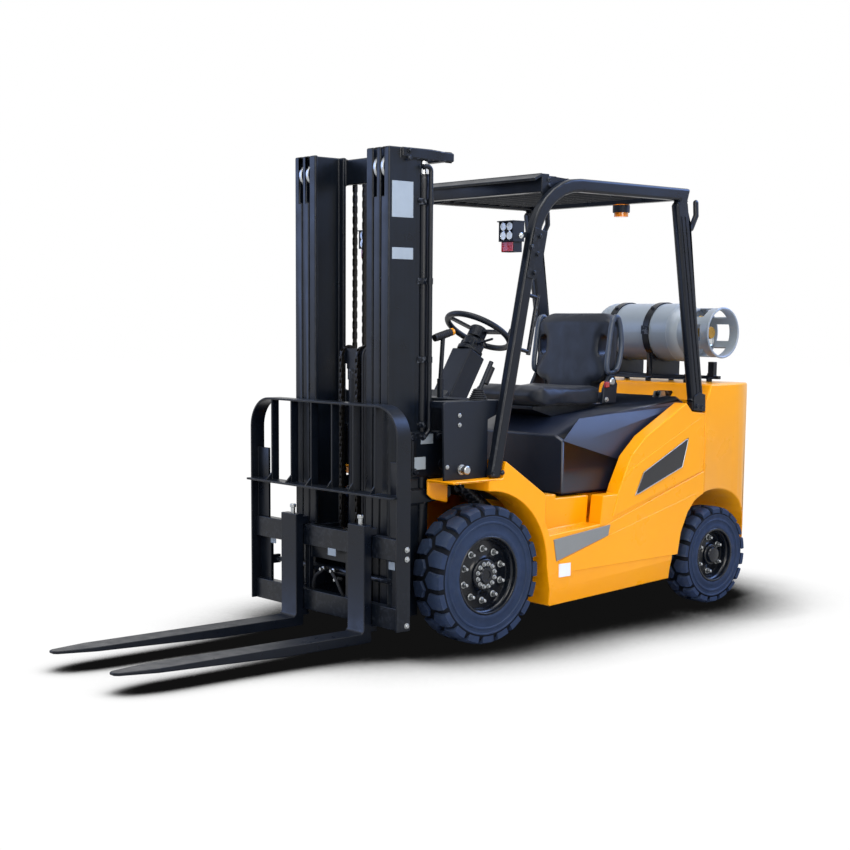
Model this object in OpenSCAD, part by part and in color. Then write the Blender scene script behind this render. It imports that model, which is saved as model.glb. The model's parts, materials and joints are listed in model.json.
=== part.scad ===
// Counterbalance forklift truck, millimetres, +X towards the forks, +Z up.
// Modules are written from the front axle: x = 0 at the front axle centre, z = 0 on the ground.

/* [Overall] */
// Distance between the front and rear axles
wheelbase = 1700; // [1640:10:1780]
// Width across the outer faces of the front tyres
overall_w = 1150; // [1136:2:1180]
// From the rear axle to the back of the counterweight
rear_overhang = 470; // [450:5:520]

/* [Wheels] */
// Outer diameter of a front tyre
front_tyre_d = 662; // [640:2:680]
// Width of a front tyre
front_tyre_w = 180; // [160:2:184]
// Outer diameter of a front rim, the seat of its tyre
front_rim_d = 376; // [350:2:410]
// Outer diameter of a rear tyre
rear_tyre_d = 528; // [500:2:544]
// Width of a rear tyre
rear_tyre_w = 158; // [140:2:166]
// Outer diameter of a rear rim, the seat of its tyre
rear_rim_d = 292; // [272:2:320]
// Width across the outer faces of the rear tyres
rear_w = 1140; // [1120:2:1160]

/* [Mast] */
// Width across the outer rails
mast_w = 708; // [700:2:720]
// Height of the lowered mast
mast_h = 2295; // [2200:5:2400]
// From the front axle to the rear face of the rails
mast_x = 252; // [246:1:262]
// Depth of the rails, front to back
rail_depth = 190; // [180:2:200]
// Thickness of the rail flanges
flange_t = 20; // [14:1:24]
// Thickness of the rail webs
web_t = 14; // [10:1:16]
// Height of the foot of the outer rails
mast_foot = 140; // [120:5:150]

/* [Carriage and forks] */
// Width of the fork carriage and the load backrest
carriage_w = 1136; // [1040:4:1144]
// Height of the lower edge of the fork carriage
carriage_z = 130; // [120:2:150]
// Height of the fork carriage, lower edge to upper edge
carriage_h = 415; // [400:1:430]
// Height of the top of the load backrest
backrest_top = 1143; // [1050:5:1250]
// Length of the fork blades in front of the shanks
fork_len = 1270; // [1000:10:1300]
// Width of a fork
fork_w = 122; // [100:2:130]
// Thickness of a fork
fork_t = 45; // [40:1:50]
// Sideways place of the left fork
fork_left_y = 306; // [240:2:380]
// Sideways place of the right fork, to the right
fork_right_y = 214; // [180:2:380]

/* [Body] */
// Width over the body sides
body_w = 1136; // [1110:2:1144]
// Height of the floor
floor_z = 660; // [640:5:680]
// Width of the hood
hood_w = 900; // [840:4:930]
// Height of the top of the counterweight
counterweight_top = 1190; // [1170:2:1200]
// Height of the underside of the counterweight behind the wheels
counterweight_foot = 300; // [240:5:330]
// Gap between a front tyre and its fender
fender_gap = 66; // [50:2:76]
// Gap between a rear tyre and its arch
arch_gap = 96; // [92:1:106]

/* [Overhead guard] */
// Height of the overhead guard
guard_h = 2215; // [2150:5:2280]
// Width over the legs of the guard
guard_w = 1120; // [1060:2:1130]
// Width of a leg, front to back
leg_d = 64; // [56:2:76]
// Thickness of a leg, side to side
leg_t = 48; // [40:2:56]

/* [Gas bottle] */
// Diameter of the gas bottle
bottle_d = 318; // [300:2:330]
// Length of the gas bottle with its collar
bottle_len = 830; // [760:5:860]
// Height of the axis of the gas bottle
bottle_z = 1462; // [1440:2:1480]

/* [Driver] */
// Diameter of the steering wheel
steering_d = 370; // [320:2:400]
// Width of the seat
seat_w = 510; // [460:2:540]

/* [Hidden] */
$fn = 64;
running = 0.3;
stage_gap = 5;
front_r = front_tyre_d / 2;
rear_r = rear_tyre_d / 2;
rear_x = -wheelbase;
rear_end = -wheelbase - rear_overhang;
half_w = overall_w / 2;
body_y = body_w / 2;
// mast stack, inwards from the outer face
mast_y = mast_w / 2;
outer_flange = 56;
flange_w = 48;
outer_in = mast_y - outer_flange;
mid_out = outer_in - stage_gap;
mid_in = mid_out - flange_w;
inner_out = mid_in - stage_gap;
inner_in = inner_out - flange_w;
mast_front = mast_x + rail_depth;
rail_mid_x = mast_x + rail_depth / 2;
roller_r = rail_depth / 2 - flange_t - stage_gap;
// carriage stack, forwards from the mast
base_x = mast_front + 13;
base_t = 30;
pad_t = 8;
bar_x = base_x + base_t + pad_t;
bar_t = 46;
bar_h = 100;
fork_back = bar_x + bar_t + 6;
fork_face = fork_back + fork_t;
fork_z = 50;
carriage_top = carriage_z + carriage_h;
// the front axle lies ahead of the middle of the truck
axle_x = (-rear_end - fork_face - fork_len) / 2;
// front axle and the mast pivot on it
tube_r = 75;
trunnion_in = mast_y - 54;
trunnion_w = 52;
// frame side plates
plate_in = 258;
plate_t = 20;
plate_out = plate_in + plate_t;
plate_top = floor_z - 12;
frame_end = rear_x + 330;
// tilt cylinders
tilt_y = 331;
tilt_foot = [-380, 470];
tilt_eye = [mast_x - 134, 850];
tilt_run = tilt_eye - tilt_foot;
tilt_len = norm(tilt_run);
tilt_angle = atan2(tilt_run[1], tilt_run[0]);
pin_r = 16;
eye_r = 31;
eye_w = 36;
// lift cylinders
lift_x = mast_x - 42;
lift_y = mast_y - 36;
lift_r = 33;
rod_r = 25;
barrel_foot = 335;
barrel_top = mast_h - 110;
rod_head = mast_h - 40;
// free-lift cylinder
free_x = mast_x + 88;
free_r = 40;
free_top = mast_h - 1005;
head_z = free_top + 60;
sheave_r = 38;
chain_t = 12;
chain_w = 20;
free_chain_y = 60;
main_chain_y = 226;
main_sheave_x = mast_x - 110;
main_sheave_z = mast_h - 95;
main_sheave_r = 24;
// fenders and arches
fender_r = front_r + fender_gap;
fender_t = 12;
fender_in = half_w - front_tyre_w - 5;
fender_top = front_r + fender_r + 58;
arch_r = rear_r + arch_gap;
// rear axle and steering
kingpin_y = rear_w / 2 - rear_tyre_w / 2 - 91;
kingpin_r = 26;
// air outlet in the counterweight
grille_y = 230;
grille_z = [730, 990];
// guard
leg_y = guard_w / 2 - leg_t;
rear_leg_x = rear_x + 130;
rail_z = guard_h - 45;
rear_leg_d = leg_d + 26;
rear_foot = [rear_leg_x + 31, 1064];
rear_top = [rear_leg_x + 213, rail_z - 60];
front_foot = [-52, fender_top + 0.2];
bend_r = 320;
front_top = [-290, rail_z - 254];
front_run = front_top - front_foot;
// seam between the side bodies and the side panels
panel_seam = [[-775, 491], [rear_x + 112, 731]];
// hood and seat
hood_y = hood_w / 2;
hood_front = -612;
hood_rear = rear_x + 150;
hood_hinge = [hood_rear + 30, 1136];
hinge_pin_r = 7;
counter_front = rear_x + 112;
// gas bottle
bottle_x = rear_x - 110;
bottle_r = bottle_d / 2;
bottle_y0 = -340;
bottle_y1 = bottle_y0 + bottle_len;
collar_len = 190;
// steering column
wheel_at = [-452, 1468];
column_tilt = 31;

// one outline drawn in x and z, from y0 to y1
module slab(points, y0, y1) {
    translate([0, y1, 0])
        rotate([90, 0, 0])
            linear_extrude(y1 - y0)
                polygon(points);
}

// children drawn in x and z, from y0 to y1
module across(y0, y1) {
    translate([0, y1, 0])
        rotate([90, 0, 0])
            linear_extrude(y1 - y0)
                children();
}

// box between two corners
module box(a, b) {
    translate(a)
        cube(b - a);
}

// round bar along y
module bar_y(x, z, r, y0, y1) {
    translate([x, y0, z])
        rotate([-90, 0, 0])
            cylinder(h = y1 - y0, r = r);
}

// round bar along x
module bar_along(y, z, r, x0, x1) {
    translate([x0, y, z])
        rotate([0, 90, 0])
            cylinder(h = x1 - x0, r = r);
}

// upright round bar
module post(x, y, r, z0, z1) {
    translate([x, y, z0])
        cylinder(h = z1 - z0, r = r);
}

// both sides
module pair() {
    children();
    mirror([0, 1, 0])
        children();
}

// one side: left for +1, right for -1
module sided(s) {
    if (s > 0)
        children();
    else
        mirror([0, 1, 0])
            children();
}

// unit normal to the left of a run
function normal(a, b) = [a[1] - b[1], b[0] - a[0]] / norm(b - a);

// the points of a path moved sideways by d, mitred at its bends
function moved(path, d) = [for (i = [0 : len(path) - 1])
    let (before = normal(path[max(i - 1, 0)], path[max(i, 1)]))
    let (after = normal(path[min(i, len(path) - 2)], path[min(i + 1, len(path) - 1)]))
    path[i] + d * (before + after) / (1 + before * after)];

// a bent bar of constant width in the plane
module stroke(path, w) {
    left = moved(path, w / 2);
    right = moved(path, -w / 2);
    polygon(concat(left, [for (i = [len(right) - 1 : -1 : 0]) right[i]]));
}

// straight round rod between two points
module rod(a, b, r) {
    run = b - a;
    translate(a)
        rotate([0, acos(run[2] / norm(run)), atan2(run[1], run[0])])
            cylinder(h = norm(run), r = r, $fn = 24);
}

module frame() {
    pan_z = 200;
    color("#f5a906") {
        pair() {
            difference() {
                slab([[95, 430], [95, 250], [-120, 235], [-250, pan_z], [frame_end, pan_z],
                      [frame_end, plate_top], [-240, plate_top], [-60, 520]], plate_in, plate_out);
                bar_y(0, front_r, tube_r + running, plate_in - 5, plate_out + 5);
            }
            bar_y(tilt_foot[0], tilt_foot[1], pin_r, plate_out - 4, tilt_y + eye_w / 2 + 10);
        }
        box([-1350, -plate_in - 2, pan_z], [-350, plate_in + 2, pan_z + 10]);
        box([-590, -plate_in - 2, pan_z], [-575, plate_in + 2, 560]);
        box([frame_end, -plate_in - 2, pan_z], [frame_end + 20, plate_in + 2, 560]);
        box([rear_x - 130, -110, rear_r + 66], [frame_end + 10, 110, rear_r + 86]);
        for (x = [rear_x - 120, rear_x + 90])
            difference() {
                box([x, -80, rear_r - 45], [x + 30, 80, rear_r + 70]);
                bar_along(0, rear_r, 30 + running, x - 5, x + 35);
            }
    }
}

module side_bodies() {
    top = fender_top;
    low = 128;
    rear_low = 168;
    inner = plate_out;
    band_r = fender_r + 42;
    sill_rise = atan2(65, 913);
    color("#f5a906")
        pair() {
            difference() {
                union() {
                    // outer skin with the fender
                    slab([[-446, low], [rear_x + 352, rear_low], [rear_x + 200, rear_low], [counter_front, 600],
                          panel_seam[1], panel_seam[0], [-790, floor_z], [-402, floor_z + 14], [-108, top + 80],
                          [-90, top], [228, top], [228, top - fender_t], [0, top - fender_t], [0, front_r]],
                         fender_in, body_y);
                    // tank behind the skin
                    slab([[-470, 200], [frame_end + 20, 200], [frame_end + 20, plate_top], [-470, plate_top]],
                         inner, fender_in + 1);
                }
                // wheel arches
                bar_y(0, front_r, fender_r, fender_in - 5, body_y + 5);
                slab([[0, front_r + 1], [-fender_r, front_r + 1], [-446 + fender_t, low - 5], [0, low - 5]],
                     fender_in - 5, body_y + 5);
                slab([[0, top - fender_t], [0, front_r], [240, front_r], [240, top - fender_t]],
                     fender_in - 5, body_y + 5);
                bar_y(rear_x, rear_r, arch_r, inner - 5, body_y + 5);
                // room for the hood
                box([counter_front - 10, fender_in - 5, plate_top], [hood_front + 60, hood_y + 30, 900]);
                // sills drawn in along their lower edge
                translate([-475, body_y, 215])
                    rotate([0, sill_rise, 0])
                        rotate([-15, 0, 0])
                            translate([-1200, 0, -300])
                                cube([1260, 200, 300]);
                // step into the cab, behind the band of the fender
                difference() {
                    slab([[-380, 484], [-800, 513], [-800, 700], [-380, 700]], body_y - 98, body_y + 5);
                    bar_y(0, front_r, band_r, body_y - 100, body_y + 6);
                }
            }
            // inner wall ahead of the axle
            slab([[100, top], [228, top], [228, 715], [196, 690], [100, 668]], fender_in - 12, fender_in);
            box([100, fender_in - 12, top - fender_t], [228, fender_in + 2, top]);
            // ledge that carries the fender on the frame
            box([-420, inner, 560], [-400, fender_in + 2, plate_top]);
            box([-470, inner, 560], [-400, inner + 8, plate_top]);
        }
}

module side_panels() {
    color("#f5a906")
        pair()
            difference() {
                slab([[-794, floor_z - 8], [-777, 492.2], panel_seam[1] + [2, 0], [counter_front + 2, 1040],
                      [-1478, 1052], [-1430, 1098], [-1113, 935], [-1000, 838], [-925, 700],
                      [-905, floor_z - 8]], hood_y + 30, body_y - 4);
                // dark inset field
                slab([[-1029, 635], [-1398, 761], [-1447, 917], [-1095, 755]], body_y - 8, body_y);
            }
}

module floor_plate() {
    half = fender_in - 2;
    color("#26282a") {
        slab([[hood_front - 40, plate_top], [hood_front - 40, floor_z], [-258, floor_z], [-28, floor_z + 175],
              [-28, floor_z + 161], [-262, plate_top]], -half, half);
        // pedals
        for (y = [-60, -190])
            rod([-156, y, floor_z + 74], [-190, y, floor_z + 110], 9);
        for (y = [-60, -190])
            translate([-196, y - 35, floor_z + 96])
                rotate([0, -38, 0])
                    cube([12, 70, 60]);
        translate([-150, -310, floor_z + 71])
            rotate([0, -38, 0])
                cube([14, 60, 150]);
    }
}

module cowl() {
    wall_x = -30;
    wall_t = 25;
    top = 1150;
    wing_front = 232;
    wing_y = 500;
    half = fender_in;
    floor_edge = fender_top + 0.2;
    color("#1f2123") {
        box([wall_x, -wing_y + 2, floor_edge + 50], [wall_x + wall_t, wing_y - 2, top]);
        box([-130, -wing_y + 2, top - 30], [wall_x + wall_t, wing_y - 2, top]);
        pair() {
            slab([[-50, floor_edge], [wing_front - 10, floor_edge], [wing_front, top - 12],
                  [wing_front - 14, top], [-130, top], [-130, top - 60], [-50, top - 90]],
                 wing_y - 14, wing_y);
            box([-30, 396, top - 30], [wing_front - 14, wing_y - 2, top]);
        }
    }
}

module steering_column() {
    color("#1b1c1e") {
        translate([wheel_at[0], 0, wheel_at[1]])
            rotate([0, -column_tilt, 0])
                translate([0, 0, -400]) {
                    translate([-55, -70, -170])
                        cube([110, 140, 440]);
                    translate([-40, -50, 250])
                        cube([80, 100, 80]);
                    cylinder(h = 385, r = 14);
                }
        // bracket down to the cowl
        slab([[-270, 960], [-30.2, 860], [-30.2, 1119.8], [-130, 1119.8], [-190, 1180]], -68, 68);
        // indicator stalk
        rod([-400, 40, 1405], [-372, 190, 1432], 6);
    }
}

module steering_wheel() {
    rim_r = 15;
    ring = steering_d / 2 - rim_r;
    color("#17181a")
        translate([wheel_at[0], 0, wheel_at[1]])
            rotate([0, -column_tilt, 0]) {
                rotate_extrude()
                    translate([ring, 0])
                        circle(r = rim_r, $fn = 24);
                difference() {
                    translate([0, 0, -40])
                        cylinder(h = 50, r = 46);
                    translate([0, 0, -45])
                        cylinder(h = 31, r = 14 + running);
                }
                for (a = [90, 210, 330])
                    rotate(a)
                        translate([38, -14, -10])
                            cube([ring - 40, 28, 12]);
                // spinner knob
                translate([-ring * 0.5, ring * 0.866, 8])
                    cylinder(h = 48, r = 20);
            }
}

module control_levers() {
    shelf = 1150;
    color("#17181a") {
        // parking brake with its boot
        translate([-30, 450, shelf])
            cylinder(h = 42, r1 = 38, r2 = 20);
        rod([-30, 450, shelf + 30], [-115, 450, shelf + 178], 11);
        // hydraulic levers with boots
        for (i = [0 : 2])
            translate([-60, -470 + 72 * i, shelf])
                cylinder(h = 36, r1 = 30, r2 = 12);
        for (i = [0 : 2])
            rod([-60, -470 + 72 * i, shelf + 25], [-110, -470 + 72 * i, shelf + 170], 8);
        for (i = [0 : 2])
            translate([-112, -470 + 72 * i, shelf + 176])
                sphere(r = 22);
        // direction handle beside the column
        post(-60, 150, 16, shelf, shelf + 90);
        rod([-60, 150, shelf + 80], [-75, 150, shelf + 290], 11);
        rod([-20, 150, shelf + 286], [-140, 150, shelf + 318], 15);
    }
}

module guard_sides() {
    base = front_foot[1];
    lean = atan2(front_run[1], front_run[0]);
    bend = [for (i = [0 : 7])
        let (a = (lean - 90) + (180 - lean) * i / 7)
        front_top + bend_r * [-cos(lean - 90) + cos(a), -sin(lean - 90) + sin(a)]];
    path = concat([front_foot], bend, [[rear_top[0] - 20, rail_z], rear_top, rear_foot]);
    color("#1a1b1d")
        pair() {
            difference() {
                across(leg_y, leg_y + leg_t)
                    stroke(path, leg_d);
                box([-400, leg_y - 5, base - 200], [100, leg_y + leg_t + 5, base]);
            }
            // deeper rear leg and its foot on the side panel
            across(leg_y, leg_y + leg_t)
                stroke([[rear_top[0], rail_z - 40], rear_foot], rear_leg_d);
            slab([[rear_foot[0] - 44, 1040.8], [rear_foot[0] + 52, 1051.5], [rear_foot[0] + 54, 1110],
                  [rear_foot[0] - 38, 1110]], leg_y, leg_y + leg_t);
            // grip behind the rear leg
            across(leg_y + 12, leg_y + 36)
                stroke([[rear_top[0] - 40, rail_z - 185], [rear_top[0] - 100, rail_z - 165],
                        [rear_top[0] - 136, rail_z - 100], [rear_top[0] - 130, rail_z - 20]], 34);
        }
}

module guard_roof() {
    front_x = -391;
    back_x = rear_leg_x + 190;
    slats = 10;
    slat_step = (back_x - front_x + 60) / (slats + 1);
    inner = leg_y;
    color("#1a1b1d") {
        box([front_x - 30, -inner, rail_z - 40], [front_x + 20, inner, guard_h]);
        slab([[front_x + 18, guard_h], [front_x + 70, guard_h - 24], [front_x + 64, guard_h - 36],
              [front_x + 18, guard_h - 14]], -inner, inner);
        box([back_x, -inner, rail_z - 30], [back_x + 44, inner, rail_z + 36]);
        for (i = [1 : slats])
            translate([front_x + slat_step * i, 0, rail_z + 6])
                rotate([0, 24, 0])
                    translate([-5, -inner, -24])
                        cube([10, 2 * inner, 52]);
        pair()
            slab([[back_x, rail_z - 12], [back_x, rail_z + 20], [front_x, rail_z + 20], [front_x, rail_z - 12]],
                 inner - 14, inner);
        // gussets at the front corners
        pair()
            slab([[front_x + 18, guard_h - 6], [front_x + 18, rail_z - 40], [front_x - 20, rail_z - 130],
                  [front_x - 110, rail_z - 50], [front_x - 310, rail_z - 16], [front_x - 310, rail_z + 20]],
                 inner - 12, inner);
    }
}

// point behind the front leg: z along it and a distance off its rear face
function behind_leg(z, off) =
    let (p = front_foot + front_run * (z - front_foot[1]) / front_run[1])
    let (n = [-front_run[1], front_run[0]] / norm(front_run))
    p + n * (leg_d / 2 + off);

// point in front of the front leg, the same way
function before_leg(z, off) =
    behind_leg(z, -leg_d - off);

module grab_handle() {
    y = leg_y + leg_t / 2;
    ends = [1395, 1650];
    reach = 65;
    bar = [behind_leg(ends[0] - 14, reach), behind_leg(ends[1] + 14, reach)];
    color("#1a1b1d") {
        rod([bar[0][0], y, bar[0][1]], [bar[1][0], y, bar[1][1]], 11);
        for (z = ends) {
            foot = behind_leg(z, 0.3);
            end = behind_leg(z, reach);
            rod([foot[0], y, foot[1]], [end[0], y, end[1]], 9);
        }
    }
}

module counterweight() {
    top = counterweight_top;
    low = counterweight_foot;
    corner = 340;
    half = body_y - 6;
    front = counter_front;
    color("#f5a906")
        difference() {
            intersection() {
                translate([0, 0, low])
                    linear_extrude(top - low) {
                        translate([rear_end, -half + corner])
                            square([front - rear_end, 2 * (half - corner)]);
                        translate([rear_end + corner, -half])
                            square([front - rear_end - corner, 2 * half]);
                        for (s = [1, -1])
                            translate([rear_end + corner, s * (half - corner)])
                                circle(r = corner);
                    }
                slab([[front, low], [front, 1104], [front - 30, 1138], [front - 50, top], [rear_end + 150, top],
                      [rear_end + 62, top - 62], [rear_end + 48, top - 120], [rear_end + 66, top - 190],
                      [rear_end + 30, 760], [rear_end, 660], [rear_end, low + 60], [rear_end + 40, low]],
                     -body_y, body_y);
            }
            pair()
                bar_y(rear_x, rear_r, arch_r, 140, body_y + 5);
            box([rear_x - 135, -145, low - 5], [front + 5, 145, rear_r + 86]);
            box([rear_x + 60, -145, low - 5], [front + 5, 145, 600]);
            // air outlet
            box([rear_end - 5, -grille_y, grille_z[0]], [rear_end + 160, grille_y, grille_z[1]]);
            // tow pin
            box([rear_end - 5, -60, 430], [rear_end + 110, 60, 490]);
            post(rear_end + 55, 0, 18, 380, 560);
        }
}

module rear_grille() {
    x = rear_end + 92;
    half = grille_y - 0.3;
    slats = 8;
    pitch = (grille_z[1] - grille_z[0] - 30) / (slats - 1);
    color("#1a1b1d") {
        for (i = [0 : slats - 1])
            translate([x, 0, grille_z[0] + 15 + pitch * i])
                rotate([0, 28, 0])
                    translate([-24, -half, -4])
                        cube([48, 2 * half, 8]);
        for (y = [-half, -110, 98, half - 12])
            box([x - 18, y, grille_z[0] + 0.3], [x + 18, y + 12, grille_z[1] - 0.3]);
    }
}

module engine() {
    color("#4a4d50") {
        box([-1280, -210, 270], [-690, 210, 880]);
        for (x = [-1240, -760])
            for (y = [-190, 130])
                box([x, y, 210], [x + 60, y + 60, 272]);
    }
}

module front_axle() {
    drum_r = 140;
    flange_y = half_w - front_tyre_w - 6;
    color("#232528") {
        bar_y(0, front_r, tube_r, -flange_y, flange_y);
        intersection() {
            translate([-40, 0, front_r])
                sphere(r = 150);
            box([-200, -200, 0], [200, 200, 600]);
        }
        pair() {
            bar_y(0, front_r, drum_r, flange_y - 16, flange_y);
            bar_y(0, front_r, 40, flange_y - 2, half_w - 60);
        }
    }
}

module rear_axle() {
    color("#232528") {
        difference() {
            box([rear_x - 46, -kingpin_y + 62, rear_r - 52], [rear_x + 46, kingpin_y - 62, rear_r + 52]);
            pair()
                post(rear_x, kingpin_y, 52, rear_r - 60, rear_r + 60);
        }
        bar_along(0, rear_r, 30, rear_x - 126, rear_x + 126);
        // forked ends round the kingpins
        pair()
            for (z = [rear_r - 92, rear_r + 62])
                difference() {
                    union() {
                        post(rear_x, kingpin_y, 42, z, z + 30);
                        box([rear_x - 42, kingpin_y - 110, z], [rear_x + 42, kingpin_y, z + 30]);
                    }
                    post(rear_x, kingpin_y, kingpin_r + running, z - 5, z + 35);
                }
        pair()
            box([rear_x - 42, kingpin_y - 110, rear_r - 92], [rear_x + 42, kingpin_y - 62, rear_r + 92]);
    }
}

module knuckle(s) {
    color("#2b2d30")
        sided(s) {
            post(rear_x, kingpin_y, kingpin_r, rear_r - 96, rear_r + 96);
            post(rear_x, kingpin_y, 40, rear_r - 61.7, rear_r + 61.7);
            bar_y(rear_x, rear_r, 30, kingpin_y, rear_w / 2 - 36);
            // steering arm
            box([rear_x, kingpin_y - 20, rear_r - 20], [rear_x + 40, kingpin_y + 20, rear_r + 20]);
        }
}

// one row of tread blocks round the axis
module lugs(r, root, count, turn, h0, h1) {
    pitch = 360 / count;
    side = [[-0.43, root], [-0.33, r], [0, r], [0.33, r], [0.43, root]];
    translate([0, 0, h0])
        linear_extrude(h1 - h0)
            difference() {
                polygon([for (i = [0 : count - 1])
                    for (p = side)
                        let (a = turn + (i + p[0]) * pitch)
                        p[1] * [cos(a), sin(a)]]);
                circle(r = root - 20);
            }
}

// straight-sided ring, its flats at the given radius
function ring_points(r, count) =
    [for (i = [0 : count - 1])
        let (a = i * 360 / count)
        r / cos(180 / count) * [cos(a), sin(a)]];

module tyre(r, seat_r, w, count) {
    groove = 9;
    facets = 28;
    root = r - 13;
    color("#20242a") {
        linear_extrude(w)
            difference() {
                polygon(ring_points(r - 25, facets));
                polygon(ring_points(seat_r, facets));
            }
        lugs(r, root, count, 270, 9, w / 2 - groove / 2);
        lugs(r, root, count, 270 + 180 / count, w / 2 + groove / 2, w - 9);
    }
}

module front_tyre(s) {
    sided(s)
        translate([0, half_w, front_r])
            rotate([90, 0, 0])
                tyre(front_r, front_rim_d / 2 + running, front_tyre_w, 20);
}

module rear_tyre(s) {
    sided(s)
        translate([rear_x, rear_w / 2, rear_r])
            rotate([90, 0, 0])
                tyre(rear_r, rear_rim_d / 2 + running, rear_tyre_w, 18);
}

// dished rim, its outer face at h = 0 and its hub bored for the spindle
module rim(r, w, hub_r, bore_r, bore_end) {
    wall = 12;
    disc = 46;
    rotate_extrude()
        polygon([[bore_r, w - 4], [bore_r, bore_end], [0, bore_end], [0, 24], [hub_r, 24], [hub_r, disc],
                 [r - wall - 4, disc + 14], [r - wall, 6], [r - wall, 2], [r, 2], [r, w - 2],
                 [r - wall, w - 2], [r - wall, disc + 34], [hub_r + 22, disc + 22], [hub_r + 6, w - 4]]);
}

module front_rim(s) {
    color("#17181a")
        sided(s)
            translate([0, half_w, front_r])
                rotate([90, 0, 0])
                    rim(front_rim_d / 2, front_tyre_w, 78, 40 + running / 2, 58);
}

module rear_rim(s) {
    color("#17181a")
        sided(s)
            translate([rear_x, rear_w / 2, rear_r])
                rotate([90, 0, 0])
                    difference() {
                        rim(rear_rim_d / 2, rear_tyre_w - 50, 58, 30 + running / 2, 34);
                    }
}

module rail(y0, y1, web0, web1, z0) {
    box([mast_x, y0, z0], [mast_x + flange_t, y1, mast_h]);
    box([mast_front - flange_t, y0, z0], [mast_front, y1, mast_h]);
    box([mast_x + 5, web0, z0], [mast_front - 5, web1, mast_h]);
}

module outer_mast() {
    tie_x = mast_x - 195;
    tie_z = 690;
    plate = mast_y - 2;
    plate_end = mast_y + 12;
    top = mast_h;
    color("#191b1e") {
        pair() {
            rail(outer_in, mast_y, mast_y - web_t, mast_y, mast_foot);
            // foot round the axle
            difference() {
                across(trunnion_in, trunnion_in + trunnion_w)
                    difference() {
                        union() {
                            translate([0, front_r])
                                circle(r = tube_r + 34);
                            polygon([[20, front_r + 95], [120, front_r + 60], [150, 300], [mast_x + 18, 300],
                                     [mast_x + 18, 190], [60, 220], [20, front_r - 95]]);
                        }
                        translate([0, front_r])
                            circle(r = tube_r + running);
                    }
            }
            // tilt bracket
            slab([[mast_x - 166, 800], [mast_x - 166, 975], [mast_x - 120, 1005], [mast_x + 50, 1005],
                  [mast_x + 50, 795], [mast_x - 130, 795]], plate, plate_end);
            slab([[mast_x - 166, 800], [mast_x - 166, 975], [mast_x - 140, 1005], [mast_x - 88, 1005],
                  [mast_x - 88, 800]], tilt_y - eye_w / 2 - 18, tilt_y - eye_w / 2 - 6);
            box([mast_x - 150, tilt_y - eye_w / 2 - 18, 985], [mast_x - 90, plate + 2, 1005]);
            bar_y(tilt_eye[0], tilt_eye[1], pin_r, tilt_y - eye_w / 2 - 18, plate_end);
            // top and lower brackets
            slab([[tie_x, top - 48], [tie_x, top - 8], [mast_x - 60, top], [mast_x + 120, top],
                  [mast_x + 120, top - 44], [mast_x - 60, top - 52]], plate, plate_end);
            slab([[tie_x, tie_z], [tie_x, tie_z + 50], [mast_x + 60, tie_z + 50], [mast_x + 60, tie_z - 20],
                  [mast_x - 30, tie_z - 20]], plate, plate_end);
        }
        box([tie_x, -plate_end, top - 46], [tie_x + 40, plate_end, top - 10]);
        box([tie_x, -plate_end, tie_z + 2], [tie_x + 40, plate_end, tie_z + 48]);
        box([mast_x - 127, -trunnion_in - 2, 195], [mast_x - 97, trunnion_in + 2, 295]);
        // closing plate under the rails that carries the stages
        box([mast_x + 60, -mast_y + 2, mast_foot], [mast_x + 130, mast_y - 2, mast_foot + 9.7]);
    }
}

module lift_barrels() {
    color("#202226")
        pair()
            difference() {
                union() {
                    post(lift_x, lift_y, lift_r, 300, barrel_top);
                    post(lift_x, lift_y, lift_r + 2, barrel_top - 60, barrel_top);
                    box([lift_x, lift_y - 18, barrel_top - 60], [mast_x, lift_y + 18, barrel_top - 20]);
                    box([lift_x, lift_y - 18, 900], [mast_x, lift_y + 18, 940]);
                }
                post(lift_x, lift_y, rod_r + running, 340, barrel_top + 5);
            }
}

module lift_rods() {
    color("#d9dcdf")
        pair()
            post(lift_x, lift_y, rod_r, 360, rod_head);
}

module mid_mast() {
    foot = mast_foot + 10;
    cross_x = mast_x - 52;
    color("#191b1e") {
        pair() {
            rail(mid_in, mid_out, mid_in + 17, mid_in + 17 + web_t, foot);
            box([cross_x, mid_in, mast_h - 125], [mast_x + 5, lift_y - lift_r - 8, mast_h - 10]);
            box([cross_x, mid_in, 160], [mast_x + 5, lift_y - lift_r - 8, 230]);
            // stop under the inner stage
            box([mast_x + 68, inner_in + 3, foot], [mast_x + 122, mid_in + 10, foot + 9.7]);
            // heads over the rods
            box([lift_x - 26, mid_in, rod_head], [lift_x + 26, lift_y + 28, mast_h - 4]);
            bar_y(rail_mid_x, 240, roller_r, mid_out - 2, mast_y - web_t - stage_gap);
            bar_y(rail_mid_x, 240, 22, mid_in + 20, mid_out);
            // chain sheave on its bracket
            for (y = [main_chain_y - 22, main_chain_y + 14])
                box([main_sheave_x - 16, y, main_sheave_z - 20], [cross_x + 4, y + 8, main_sheave_z + 20]);
            bar_y(main_sheave_x, main_sheave_z, 9, main_chain_y - 22, main_chain_y + 22);
            bar_y(main_sheave_x, main_sheave_z, main_sheave_r - 0.3, main_chain_y - 12, main_chain_y + 12);
        }
        box([cross_x, -mid_in - 2, mast_h - 125], [cross_x + 22, mid_in + 2, mast_h - 10]);
        box([cross_x, -mid_in - 2, 160], [cross_x + 22, mid_in + 2, 230]);
    }
}

// chain over a sheave: two hanging strands and the turn between them
module chain(x, z, y, r, rear_low, front_low) {
    t = chain_t;
    translate([0, y - chain_w / 2, 0]) {
        across(0, chain_w)
            difference() {
                translate([x, z])
                    circle(r = r + t);
                translate([x, z])
                    circle(r = r);
                translate([x - r - t - 5, z - r - t - 5])
                    square([2 * (r + t + 5), r + t + 5]);
            }
        box([x - r - t, 0, rear_low], [x - r, chain_w, z + 1]);
        box([x + r, 0, front_low], [x + r + t, chain_w, z + 1]);
    }
}

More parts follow.
